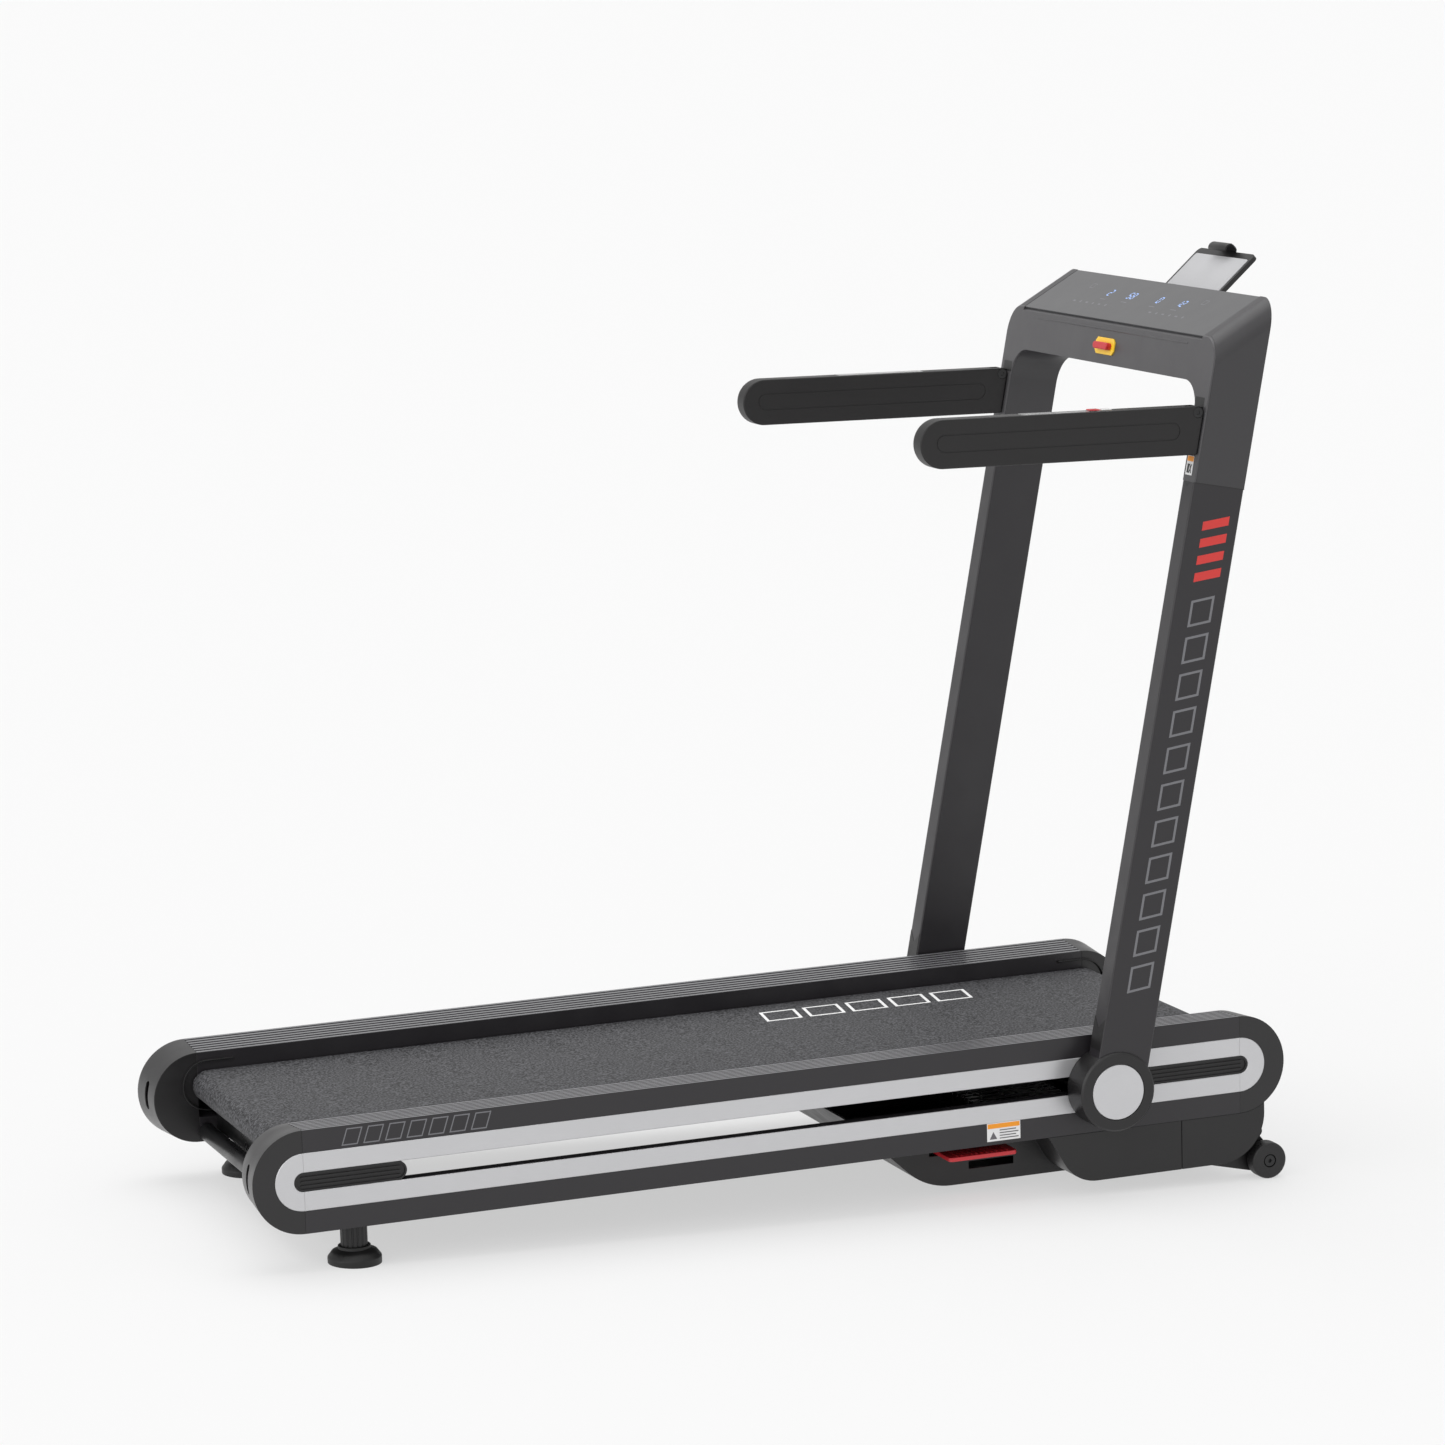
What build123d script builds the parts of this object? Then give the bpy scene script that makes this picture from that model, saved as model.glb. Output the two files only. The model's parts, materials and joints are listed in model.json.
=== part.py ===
from build123d import *
from math import atan2, cos, degrees, hypot, radians, sin
import os

# Flat-folding treadmill, millimetres, +Z up, the user faces +X, the left side is +Y.
# It stands on two levelling feet at the back and two transport wheels in front.
# Almost everything belongs to the deck, which stands nose-up by deck_incline, or to the
# mast, which leans forward from the deck; each has its own frame, set up below.

os.makedirs("parts", exist_ok=True)

SIDES = (("left", 1), ("right", -1))

# ---------------------------------------------------------------- driving dimensions
belt_width = 460            # running surface
belt_thick = 2
deck_incline = 1.95         # degrees, nose up
rail_height = 147           # side rail, over its rounded ends
rail_width = 72
rail_span = 1441            # between the centres of the rounded ends
rail_outer = 306            # mid-plane to a rail's outer face
rail_fall = 5.9             # the rail's top falls this much towards the belt
rail_wall = 3.2
slot_half = 13.6            # half height of the long slot through each rail
slot_lip = 20               # the lower rail is this deep at the slot, then falls away
slot_fall = 17              # by this much towards the belt
band_half = 41              # half height of the silver band round the slot
rollers_z = 17.7            # roller axis above the rail's centre line
roller_radius = 20.9
rear_roller_x = 14
front_roller_x = rail_span

hub_x = 1218                # mast pivot on the deck
hub_z = -4.5
hub_radius = 59
hub_face = 356.5            # mid-plane to the hub's outer face
mast_lean = 11.2            # degrees forward of the deck's normal
upright_outer = 352.5
upright_inner = 316.5
upright_back = -38          # behind the hub line
upright_front = 44
seam_height = 892           # along the mast, where the uprights end in the console
console_back_height = 1100
console_front_height = 1170
arch_height = 1035          # underside of the console's bridge
arch_corner = 45
console_corner = 34         # outer top corners

handle_length = 434         # pivot to tip
handle_height = 70
handle_thick = 28
handle_pivot_drop = 9       # pivot below the handle's top edge
handle_pivot_n = -48        # behind the hub line
handle_pivot_s = 992
handle_y = 336
handle_droop = 0.95         # degrees below level at the tip

foot_x = 79
foot_y = 270
foot_sole = 132.4           # sole below the rail's centre line
wheel_x = 1491
wheel_z = -153
wheel_radius = 27.5
wheel_y = 292

running_gap = 0.3           # between moving and fixed curved faces
shaft_gap = 0.05            # radial, shafts in their bores

# ---------------------------------------------------------------- worked out
rail_radius = rail_height / 2
rail_inner = rail_outer - rail_width
inner_radius = rail_radius - rail_fall
deck_lift = foot_sole * cos(radians(deck_incline)) - foot_x * sin(radians(deck_incline))
overall_centre_x = 736      # middle of the whole object's length, in the deck's frame
roller_out = roller_radius + running_gap + belt_thick
world_lean = mast_lean - deck_incline

DECK = Location((-overall_centre_x, 0, deck_lift), (0, -deck_incline, 0))
MAST = DECK * Location((hub_x, 0, hub_z), (0, mast_lean, 0))
ACROSS = Vector(0, 1, 0)


# Planes of the deck's frame: x along the deck, y to the left, z along the deck's normal.
def deck_point(x, y, z):
    return (DECK * Location((x, y, z))).position


def deck_flat(x, y, z):
    return Plane(DECK * Location((x, y, z)))


def deck_side(y, x=0, z=0):
    return Plane(DECK * Location((x, y, z)) * Plane.XZ.location)


def deck_cross(x, y=0, z=0):
    return Plane(DECK * Location((x, y, z)) * Plane.YZ.location)


def deck_axis(x, z):
    return Axis(deck_point(x, 0, z), ACROSS)


# Planes of the mast's frame: n forward, y to the left, s up along the mast from the hub.
def mast_point(n, y, s):
    return (MAST * Location((n, y, s))).position


def mast_flat(n, y, s):
    return Plane(MAST * Location((n, y, s)))


def mast_side(y, n=0, s=0):
    return Plane(MAST * Location((n, y, s)) * Plane.XZ.location)


def mast_face(n, y=0, s=0):
    return Plane(MAST * Location((n, y, s)) * Plane.YZ.location)


def disc(plane, radius, length, mode=Mode.ADD):
    """A round bar along the plane's normal, from the plane."""
    with BuildSketch(plane) as end:
        Circle(radius)
    extrude(end.sketch, amount=length, mode=mode)


def bar_across(x, z, radius, y_from, y_to, mode=Mode.ADD):
    """A round bar across the deck between two distances from the mid-plane."""
    disc(deck_side(max(y_from, y_to), x, z), radius, abs(y_to - y_from), mode)


# ---------------------------------------------------------------- side rails
def rail_outline(side, upper):
    """Closed outline of an upper or lower rail extrusion in the plane across the deck."""
    up = 1 if upper else -1
    fall = 0 if upper else slot_fall
    Polyline(
        (side * rail_outer, up * slot_half),
        (side * rail_outer, up * rail_radius),
        (side * rail_inner, up * inner_radius),
        (side * rail_inner, up * (slot_half + fall)),
        (side * (rail_outer - slot_lip), up * slot_half),
        close=True,
    )


band_depth = 1.8            # recess for the silver band
band_proud = 0.6
rib_count = 6
rib_pitch = 11
rib_groove = 3.5
rib_depth = 1.4
pivot_barrel_radius = 13
axle_radius = 8
bearing_out = 15
bearing_width = 12
well_near = 246             # well for the drive pulley and belt in the left rail
well_far = 272


def drive_well():
    """Clears the room for the drive pulley and its belt at the front left corner."""
    with Locations(DECK * Location((front_roller_x - 10, (well_near + well_far) / 2, -15))):
        Box(102, well_far - well_near, 132, mode=Mode.SUBTRACT)


for side_name, side in SIDES:
    for level, up in (("upper", 1), ("lower", -1)):
        with BuildPart() as rail:
            with BuildSketch(deck_cross(0)):
                with BuildLine():
                    rail_outline(side, up > 0)
                make_face()
                offset(amount=-rail_wall, kind=Kind.INTERSECTION, mode=Mode.SUBTRACT)
            extrude(amount=rail_span)
            with BuildSketch(deck_cross(0)):
                with Locations((side * rail_outer, up * (slot_half + band_half) / 2)):
                    Rectangle(2 * band_depth, band_half - slot_half)
                if up > 0:
                    for rib in range(rib_count):
                        across = 9 + rib * rib_pitch
                        height = inner_radius + across * rail_fall / rail_width
                        with Locations((side * (rail_inner + across), height)):
                            Rectangle(rib_groove, 2 * rib_depth)
            extrude(amount=rail_span, mode=Mode.SUBTRACT)
            bar_across(hub_x, hub_z, pivot_barrel_radius, side * 230, side * 305, Mode.SUBTRACT)
            bar_across(rear_roller_x, rollers_z, axle_radius, side * 230, side * 248, Mode.SUBTRACT)
            bar_across(front_roller_x, rollers_z, bearing_out, side * 230, side * 246, Mode.SUBTRACT)
            if up < 0:
                disc(deck_flat(foot_x, side * foot_y, -80), 6 + running_gap, 40, Mode.SUBTRACT)
            if side > 0:
                drive_well()
        rail.part.label = f"rail_{level}_{side_name}"
        export_step(rail.part, f"parts/rail_{level}_{side_name}.step")

# Rounded end caps: hollow half drums that close both extrusions of a rail.
slot_back = 284             # the slot ends in a blind pocket this far from the mid-plane
cap_wall = 3


def cap_outline(side):
    Polyline(
        (side * rail_outer, slot_half),
        (side * rail_outer, rail_radius),
        (side * rail_inner, inner_radius),
        (side * rail_inner, 0),
        (side * slot_back, 0),
        (side * slot_back, slot_half),
        close=True,
    )


def cap_hollow(side):
    Polyline(
        (side * (rail_outer - cap_wall - 1), slot_half + cap_wall),
        (side * (rail_outer - cap_wall - 1), rail_radius - cap_wall),
        (side * (rail_inner + cap_wall), inner_radius - cap_wall),
        (side * (rail_inner + cap_wall), 0),
        (side * (slot_back - cap_wall), 0),
        (side * (slot_back - cap_wall), slot_half + cap_wall),
        close=True,
    )


def band_recess(side):
    with Locations((side * rail_outer, (slot_half + band_half) / 2)):
        Rectangle(2 * band_depth, band_half - slot_half)


for end_name, end_x, turn in (("rear", 0, -180), ("front", rail_span, 180)):
    centre_line = deck_axis(end_x, 0)
    with BuildPart() as caps:
        for side_name, side in SIDES:
            with BuildSketch(deck_cross(end_x)):
                with BuildLine():
                    cap_outline(side)
                make_face()
                with BuildLine():
                    cap_hollow(side)
                make_face(mode=Mode.SUBTRACT)
            revolve(axis=centre_line, revolution_arc=turn)
            with BuildSketch(deck_cross(end_x)):
                band_recess(side)
            revolve(axis=centre_line, revolution_arc=turn, mode=Mode.SUBTRACT)
            if end_name == "rear":
                # Key slot in the rounded back, for the belt's tension bolt.
                with BuildSketch(deck_cross(-rail_radius - 5, side * 268, rollers_z - 14)):
                    SlotOverall(42, 12, rotation=90)
                extrude(amount=20, mode=Mode.SUBTRACT)
            else:
                bar_across(end_x, rollers_z, bearing_out, side * 230, side * 246, Mode.SUBTRACT)
        if end_name == "front":
            drive_well()
    caps.part.label = f"{end_name}_caps"
    export_step(caps.part, f"parts/{end_name}_caps.step")


# Silver bands round the slots: two straight strips and two half rings to a side.
def band_outline(side, up):
    bevel = 0.8
    floor = rail_outer - band_depth
    face = rail_outer + band_proud
    Polyline(
        (side * floor, up * slot_half),
        (side * floor, up * band_half),
        (side * (face - bevel), up * band_half),
        (side * face, up * (band_half - bevel)),
        (side * face, up * (slot_half + bevel)),
        (side * (face - bevel), up * slot_half),
        close=True,
    )


band_seam = 0.15
with BuildPart() as bands:
    for side_name, side in SIDES:
        for up in (1, -1):
            with BuildSketch(deck_cross(band_seam)):
                with BuildLine():
                    band_outline(side, up)
                make_face()
            extrude(amount=rail_span - 2 * band_seam)
        for end_x, turn in ((0, -180), (rail_span, 180)):
            with BuildSketch(deck_cross(end_x)):
                with BuildLine():
                    band_outline(side, 1)
                make_face()
            revolve(axis=deck_axis(end_x, 0), revolution_arc=turn)
bands.part.label = "slot_bands"
export_step(bands.part, "parts/slot_bands.step")

# Ribbed plugs that close the ends of each slot: one behind, one from the hub forward.
plug_gap = 0.15
plug_back = 285.5
plug_face = 304.8
plug_ribs = 3
with BuildPart() as plugs:
    for side_name, side in SIDES:
        for start, stop in ((0, 136), (1292, rail_span)):
            middle = (start + stop) / 2
            length = stop - start
            with BuildSketch(deck_side(side * plug_face, middle, 0)):
                SlotCenterToCenter(length, 2 * (slot_half - plug_gap))
            extrude(amount=side * (plug_face - plug_back))
            with BuildSketch(deck_side(side * plug_face, middle, 0)):
                SlotCenterToCenter(length, 2 * slot_half - 6)
                for rib in range(plug_ribs):
                    with Locations((0, (rib - 1) * 6)):
                        SlotOverall(length + 8, 2.2, mode=Mode.SUBTRACT)
            extrude(amount=side * 2.2, mode=Mode.SUBTRACT)
plugs.part.label = "slot_plugs"
export_step(plugs.part, "parts/slot_plugs.step")

# ---------------------------------------------------------------- frame and running deck
tube_x = 10
tube_z = -53
with BuildPart() as rear_tube:
    bar_across(tube_x, tube_z, 13, rail_inner, -rail_inner)
    bar_across(tube_x, tube_z, 11, rail_inner, -rail_inner, Mode.SUBTRACT)
rear_tube.part.label = "rear_cross_tube"
export_step(rear_tube.part, "parts/rear_cross_tube.step")

belt_top = rollers_z + roller_out
belt_bottom = rollers_z - roller_out
board_thick = 18
board_top = belt_top - belt_thick - 0.3
board_start = 60
board_stop = 1395
member_height = 14
cushion_thick = 3
cushion_top = board_top - board_thick
member_spots = (190, 730, 1270)
with BuildPart() as members:
    for spot in member_spots:
        with Locations(DECK * Location((spot, 0, cushion_top - cushion_thick - member_height / 2))):
            Box(46, 2 * rail_inner, member_height)
            Box(42, 2 * rail_inner, member_height - 4, mode=Mode.SUBTRACT)
    # The rear beam lies just under the belt's lower run.
    with Locations(DECK * Location((70, 0, belt_bottom - 25))):
        Box(50, 2 * rail_inner, 43)
        Box(46, 2 * rail_inner, 39, mode=Mode.SUBTRACT)
members.part.label = "cross_members"
export_step(members.part, "parts/cross_members.step")

with BuildPart() as cushions:
    for spot in member_spots:
        for across in (-170, 0, 170):
            with BuildSketch(deck_flat(spot, across, cushion_top - cushion_thick)):
                RectangleRounded(40, 60, 8)
            extrude(amount=cushion_thick)
cushions.part.label = "deck_cushions"
export_step(cushions.part, "parts/deck_cushions.step")

with BuildPart() as board:
    with BuildSketch(deck_flat((board_start + board_stop) / 2, 0, cushion_top)):
        RectangleRounded(board_stop - board_start, belt_width - 6, 10)
    extrude(amount=board_thick)
board.part.label = "deck_board"
export_step(board.part, "parts/deck_board.step")

belt_run = front_roller_x - rear_roller_x
belt_middle = (front_roller_x + rear_roller_x) / 2
with BuildPart() as belt:
    with BuildSketch(deck_side(belt_width / 2, belt_middle, rollers_z)):
        SlotCenterToCenter(belt_run, 2 * roller_out)
        SlotCenterToCenter(belt_run, 2 * (roller_out - belt_thick), mode=Mode.SUBTRACT)
    extrude(amount=belt_width)
belt.part.label = "running_belt"
export_step(belt.part, "parts/running_belt.step")

# ---------------------------------------------------------------- rollers and drive
roller_half = rail_inner - 3
pulley_near = 250
pulley_far = 266
bearing_seat = rail_inner + 0.4

# The front roller is driven: its shaft is part of it and runs in bearings in the rails.
with BuildPart() as front_roller:
    bar_across(front_roller_x, rollers_z, roller_radius, roller_half, -roller_half)
    inner_end = roller_half - bearing_width
    bar_across(front_roller_x, rollers_z, roller_radius - 4, inner_end, -inner_end, Mode.SUBTRACT)
    bar_across(front_roller_x, rollers_z, axle_radius, pulley_far, -246)
front_roller.part.label = "front_roller"
export_step(front_roller.part, "parts/front_roller.step")

# The rear roller idles on bearings in its ends, on a fixed axle.
with BuildPart() as rear_roller:
    bar_across(rear_roller_x, rollers_z, roller_radius, roller_half, -roller_half)
    bar_across(rear_roller_x, rollers_z, roller_radius - 4, roller_half, -roller_half, Mode.SUBTRACT)
    for side in (1, -1):
        near = side * (roller_half - bearing_width)
        far = side * roller_half
        bar_across(rear_roller_x, rollers_z, roller_radius - 4, near, far)
        bar_across(rear_roller_x, rollers_z, bearing_out + shaft_gap, near, far, Mode.SUBTRACT)
rear_roller.part.label = "rear_roller"
export_step(rear_roller.part, "parts/rear_roller.step")

with BuildPart() as bearings:
    for side in (1, -1):
        near = side * (roller_half - bearing_width)
        far = side * roller_half
        bar_across(rear_roller_x, rollers_z, bearing_out, near, far)
        bar_across(rear_roller_x, rollers_z, axle_radius, near, far, Mode.SUBTRACT)
        near = side * bearing_seat
        far = side * (bearing_seat + bearing_width - 1)
        bar_across(front_roller_x, rollers_z, bearing_out, near, far)
        bar_across(front_roller_x, rollers_z, axle_radius + shaft_gap, near, far, Mode.SUBTRACT)
bearings.part.label = "roller_bearings"
export_step(bearings.part, "parts/roller_bearings.step")

with BuildPart() as axle:
    bar_across(rear_roller_x, rollers_z, axle_radius, 245, -245)
axle.part.label = "rear_axle"
export_step(axle.part, "parts/rear_axle.step")

# Tension bolts reach from the key slots in the rear caps to the rear axle's ends.
bolt_z = rollers_z + 2.4
with BuildPart() as tension:
    for side in (1, -1):
        with BuildSketch(deck_cross(-52, side * 242, bolt_z)):
            Circle(3)
        extrude(amount=52 + rear_roller_x - axle_radius)
        with BuildSketch(deck_cross(-59, side * 242, bolt_z)):
            Circle(3.8)
            RegularPolygon(2.2, 6, mode=Mode.SUBTRACT)
        extrude(amount=7)
tension.part.label = "tension_bolts"
export_step(tension.part, "parts/tension_bolts.step")

# The motor lies across the belly and drives the front roller at its left end.
motor_x = 1398
motor_z = -98
motor_radius = 42
roller_pulley_radius = 30
motor_pulley_radius = 15
with BuildPart() as roller_pulley:
    bar_across(front_roller_x, rollers_z, roller_pulley_radius, pulley_near, pulley_far)
    rim_side = pulley_far - 5
    bar_across(front_roller_x, rollers_z, 25, rim_side, pulley_far, Mode.SUBTRACT)
    bar_across(front_roller_x, rollers_z, 12, rim_side, pulley_far)
    bar_across(front_roller_x, rollers_z, axle_radius, pulley_near, pulley_far, Mode.SUBTRACT)
roller_pulley.part.label = "roller_pulley"
export_step(roller_pulley.part, "parts/roller_pulley.step")

drop = rollers_z - motor_z
reach = front_roller_x - motor_x
span = hypot(drop, reach)
tilt = degrees(atan2(drop, reach))
drive_thick = 2.5


def drive_loop(extra):
    """Outline of the drive belt round both pulleys, larger than them by extra."""
    big = roller_pulley_radius + extra
    small = motor_pulley_radius + extra
    lean = degrees(atan2(big - small, span))
    with BuildLine() as outline:
        upper = CenterArc((0, 0), big, 90 - lean, 2 * (90 + lean))
        lower = CenterArc((span, 0), small, 270 + lean, 180 - 2 * lean)
        Line(upper @ 0, lower @ 1)
        Line(upper @ 1, lower @ 0)
    make_face(outline.edges())


drive_plane = Plane(
    DECK
    * Location((front_roller_x, pulley_far - 1, rollers_z))
    * Plane.XZ.location
    * Location((0, 0, 0), (0, 0, 180 + tilt))
)
with BuildPart() as drive_belt:
    with BuildSketch(drive_plane):
        drive_loop(running_gap + drive_thick)
    extrude(amount=pulley_far - pulley_near - 2)
    with BuildSketch(drive_plane):
        drive_loop(running_gap)
    extrude(amount=pulley_far - pulley_near - 2, mode=Mode.SUBTRACT)
drive_belt.part.label = "drive_belt"
export_step(drive_belt.part, "parts/drive_belt.step")

motor_left = 200
motor_right = -20
with BuildPart() as motor:
    bar_across(motor_x, motor_z, motor_radius, motor_left, motor_right)
    with Locations(DECK * Location((motor_x - 10, (motor_left + motor_right) / 2, -137))):
        Box(44, motor_left - motor_right - 40, 15)
    bar_across(motor_x, motor_z, 6 + shaft_gap, motor_left, motor_right, Mode.SUBTRACT)
motor.part.label = "drive_motor"
export_step(motor.part, "parts/drive_motor.step")

# Rotor: shaft, small drive pulley at the left end and flywheel at the right end.
with BuildPart() as rotor:
    bar_across(motor_x, motor_z, 6, pulley_far, motor_right - 34)
    bar_across(motor_x, motor_z, motor_pulley_radius, pulley_near, pulley_far)
    bar_across(motor_x, motor_z, 44, motor_right - 6, motor_right - 30)
    bar_across(motor_x, motor_z, 36, motor_right - 24, motor_right - 30, Mode.SUBTRACT)
    bar_across(motor_x, motor_z, 14, motor_right - 24, motor_right - 30)
rotor.part.label = "motor_rotor"
export_step(rotor.part, "parts/motor_rotor.step")

# ---------------------------------------------------------------- belly casing
pan_floor = -147.5
pan_wall = 3
pan_seam = 1344.5
narrow_half = 232
pan_top = -rail_radius
front_corner_x = 1410       # centre of the front cover's big round corner
front_corner_z = -76
front_corner_r = front_corner_z - pan_floor


def pan_outline(heel_x, slope, corner, inset, top):
    """Side outline of the pan: a heel that slants back as it rises, then a flat floor."""
    shift = inset * hypot(1, slope)
    floor = pan_floor + inset
    with BuildLine() as outline:
        Polyline(
            (heel_x + shift - (top - pan_floor) * slope, top),
            (heel_x + shift - inset * slope, floor),
            (pan_seam - 0.4, floor),
            (pan_seam - 0.4, top),
            close=True,
        )
    make_face(outline.edges())
    fillet(vertices().group_by(Axis.Y)[0].sort_by(Axis.X)[0], corner - inset)


def wide_outline(inset, top):
    pan_outline(1171.7, 0.583, 60, inset, top)


def narrow_outline(inset, top):
    pan_outline(965, 1.066, 100, inset, top)


pedal_x = 1030
pedal_long = 108
pedal_z = -92
pedal_thick = 6
pedal_window = 26
narrow_top = -30            # the narrow pan's sides reach up between the rails
with BuildPart() as pan:
    with BuildSketch(deck_side(0)):
        wide_outline(0, pan_top)
    extrude(amount=rail_outer, both=True)
    with BuildSketch(deck_side(0)):
        narrow_outline(0, narrow_top)
    extrude(amount=narrow_half, both=True)
    with BuildSketch(deck_side(0)):
        wide_outline(pan_wall, 0)
    extrude(amount=rail_outer - pan_wall, both=True, mode=Mode.SUBTRACT)
    with BuildSketch(deck_side(0)):
        narrow_outline(pan_wall, 0)
    extrude(amount=narrow_half - pan_wall, both=True, mode=Mode.SUBTRACT)
    # Window in the right side for the release pedal, and the well that it sinks into.
    with Locations(DECK * Location((pedal_x, -narrow_half, pedal_z + 5))):
        Box(pedal_long + 12, 12, pedal_window, mode=Mode.SUBTRACT)
    with Locations(DECK * Location((pedal_x + 39, -narrow_half, pedal_z - 28))):
        Box(72, 12, 11, mode=Mode.SUBTRACT)
pan.part.label = "belly_pan"
export_step(pan.part, "parts/belly_pan.step")


def cover_outline(inset, top):
    """Side outline of the front cover: its big corner rolls up to the rail's end."""
    nose_x = front_corner_x + front_corner_r - inset
    with BuildLine() as outline:
        Line((pan_seam + 0.4, top), (pan_seam + 0.4, pan_floor + inset))
        Line((pan_seam + 0.4, pan_floor + inset), (front_corner_x, pan_floor + inset))
        CenterArc((front_corner_x, front_corner_z), front_corner_r - inset, 270, 90)
        Line((nose_x, front_corner_z), (nose_x, top))
        Line((nose_x, top), (pan_seam + 0.4, top))
    make_face(outline.edges())


rim_gap = 0.25
inlet_y = 150
switch_y = 96
inlet_z = -100
with BuildPart() as cover_block:
    with BuildSketch(deck_side(0)):
        cover_outline(0, -55)
    extrude(amount=rail_outer, both=True)
with BuildPart() as cover:
    add(cover_block.part)
    with BuildSketch(deck_side(0)):
        cover_outline(pan_wall, 0)
    extrude(amount=rail_outer - pan_wall, both=True, mode=Mode.SUBTRACT)
    # The rails and their front caps sit on the cover's rim.
    for side in (1, -1):
        with BuildSketch(deck_cross(pan_seam - 20)):
            with BuildLine():
                Polyline(
                    (side * (rail_outer + 1), -rail_radius - rim_gap),
                    (side * rail_inner, -inner_radius - rim_gap),
                    (side * rail_inner, 0),
                    (side * (rail_outer + 1), 0),
                    close=True,
                )
            make_face()
        extrude(amount=rail_span - pan_seam + 20, mode=Mode.SUBTRACT)
        with BuildSketch(deck_cross(rail_span)):
            with BuildLine():
                Polyline(
                    (side * (rail_outer + 1), rail_radius + rim_gap),
                    (side * rail_inner, inner_radius + rim_gap),
                    (side * rail_inner, 0),
                    (side * (rail_outer + 1), 0),
                    close=True,
                )
            make_face()
        revolve(axis=deck_axis(rail_span, 0), revolution_arc=180, mode=Mode.SUBTRACT)
    # Flat pad for the power inlet and the rocker switch.
    with Locations(DECK * Location((1478, (inlet_y + switch_y) / 2, inlet_z))):
        Box(12, 110, 34)
    with Locations(DECK * Location((1478, inlet_y, inlet_z))):
        Box(40, 28, 20.4, mode=Mode.SUBTRACT)
    with Locations(DECK * Location((1478, switch_y, inlet_z))):
        Box(40, 21, 15, mode=Mode.SUBTRACT)
cover.part.label = "front_cover"
export_step(cover.part, "parts/front_cover.step")

inlet_face = 1485
switch_deep = 12
with BuildPart() as inlet:
    with BuildSketch(deck_cross(inlet_face - 26, inlet_y, inlet_z)):
        Rectangle(28, 20.4)
    extrude(amount=26)
    with BuildSketch(deck_cross(inlet_face - 16, inlet_y, inlet_z)):
        Rectangle(23, 15)
    extrude(amount=20, mode=Mode.SUBTRACT)
    with BuildSketch(deck_cross(inlet_face - 17, inlet_y, inlet_z)):
        with Locations((-7, -1), (0, 3), (7, -1)):
            Rectangle(2, 4)
    extrude(amount=13)
    with BuildSketch(deck_cross(inlet_face - switch_deep, switch_y, inlet_z)):
        Rectangle(21, 15)
        Rectangle(16, 11, mode=Mode.SUBTRACT)
    extrude(amount=switch_deep + 1)
inlet.part.label = "power_inlet"
export_step(inlet.part, "parts/power_inlet.step")

# Rocker: a shallow V that tips about the axis down its middle.
with BuildPart() as rocker:
    with BuildSketch(deck_flat(0, switch_y, inlet_z - 5.2)):
        with Locations((inlet_face - 3, 0)):
            Circle(7.4)
        with Locations((inlet_face - 12, 0)):
            Rectangle(10, 20, mode=Mode.SUBTRACT)
    extrude(amount=10.4)
rocker.part.label = "power_rocker"
export_step(rocker.part, "parts/power_rocker.step")

with BuildPart() as controller:
    with Locations(DECK * Location((1230, 60, pan_floor + pan_wall + 24))):
        Box(150, 180, 48)
    for fin in range(9):
        with Locations(DECK * Location((1230, -16 + fin * 19, pan_floor + pan_wall + 46))):
            Box(150, 9, 8, mode=Mode.SUBTRACT)
controller.part.label = "motor_controller"
export_step(controller.part, "parts/motor_controller.step")

# ---------------------------------------------------------------- transport wheels
arm_thick = 14
arm_outer = wheel_y - 15
with BuildPart() as wheel_arms:
    for side in (1, -1):
        with BuildSketch(deck_side(side * arm_outer)):
            with BuildLine():
                Polyline(
                    (1372, pan_floor),
                    (1400, pan_floor + 40),
                    (1476, -104),
                    (wheel_x + 6, wheel_z + 22),
                    (wheel_x + 6, wheel_z - 22),
                    (wheel_x - 14, wheel_z - 20),
                    close=True,
                )
            make_face()
            with Locations((wheel_x, wheel_z)):
                Circle(23)
            with Locations((1484, -113)):
                Circle(8.5)
        extrude(amount=side * arm_thick)
    add(cover_block.part, mode=Mode.SUBTRACT)
    for side in (1, -1):
        bar_across(wheel_x, wheel_z, 5, side * 230, side * rail_outer, Mode.SUBTRACT)
wheel_arms.part.label = "wheel_arms"
export_step(wheel_arms.part, "parts/wheel_arms.step")

wheel_thick = 24
for side_name, side in SIDES:
    with BuildPart() as wheel:
        face = side * (wheel_y + wheel_thick / 2)
        back = side * (wheel_y - wheel_thick / 2)
        bar_across(wheel_x, wheel_z, wheel_radius, face, back)
        fillet(wheel.edges().filter_by(GeomType.CIRCLE), 4)
        bar_across(wheel_x, wheel_z, 10, face, face - side * 6, Mode.SUBTRACT)
        bar_across(wheel_x, wheel_z, 5 + shaft_gap, face, back, Mode.SUBTRACT)
    wheel.part.label = f"transport_wheel_{side_name}"
    export_step(wheel.part, f"parts/transport_wheel_{side_name}.step")

with BuildPart() as wheel_bolts:
    for side in (1, -1):
        face = side * (wheel_y + wheel_thick / 2)
        bar_across(wheel_x, wheel_z, 5, face - side * 5.6, side * (arm_outer - arm_thick - 5))
        bar_across(wheel_x, wheel_z, 8.5, face - side * 5.6, face - side * 0.6)
        with BuildSketch(deck_side(face - side * 0.6, wheel_x, wheel_z)):
            RegularPolygon(3.2, 6)
        extrude(amount=side * 3.4, mode=Mode.SUBTRACT)
wheel_bolts.part.label = "wheel_bolts"
export_step(wheel_bolts.part, "parts/wheel_bolts.step")

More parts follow.
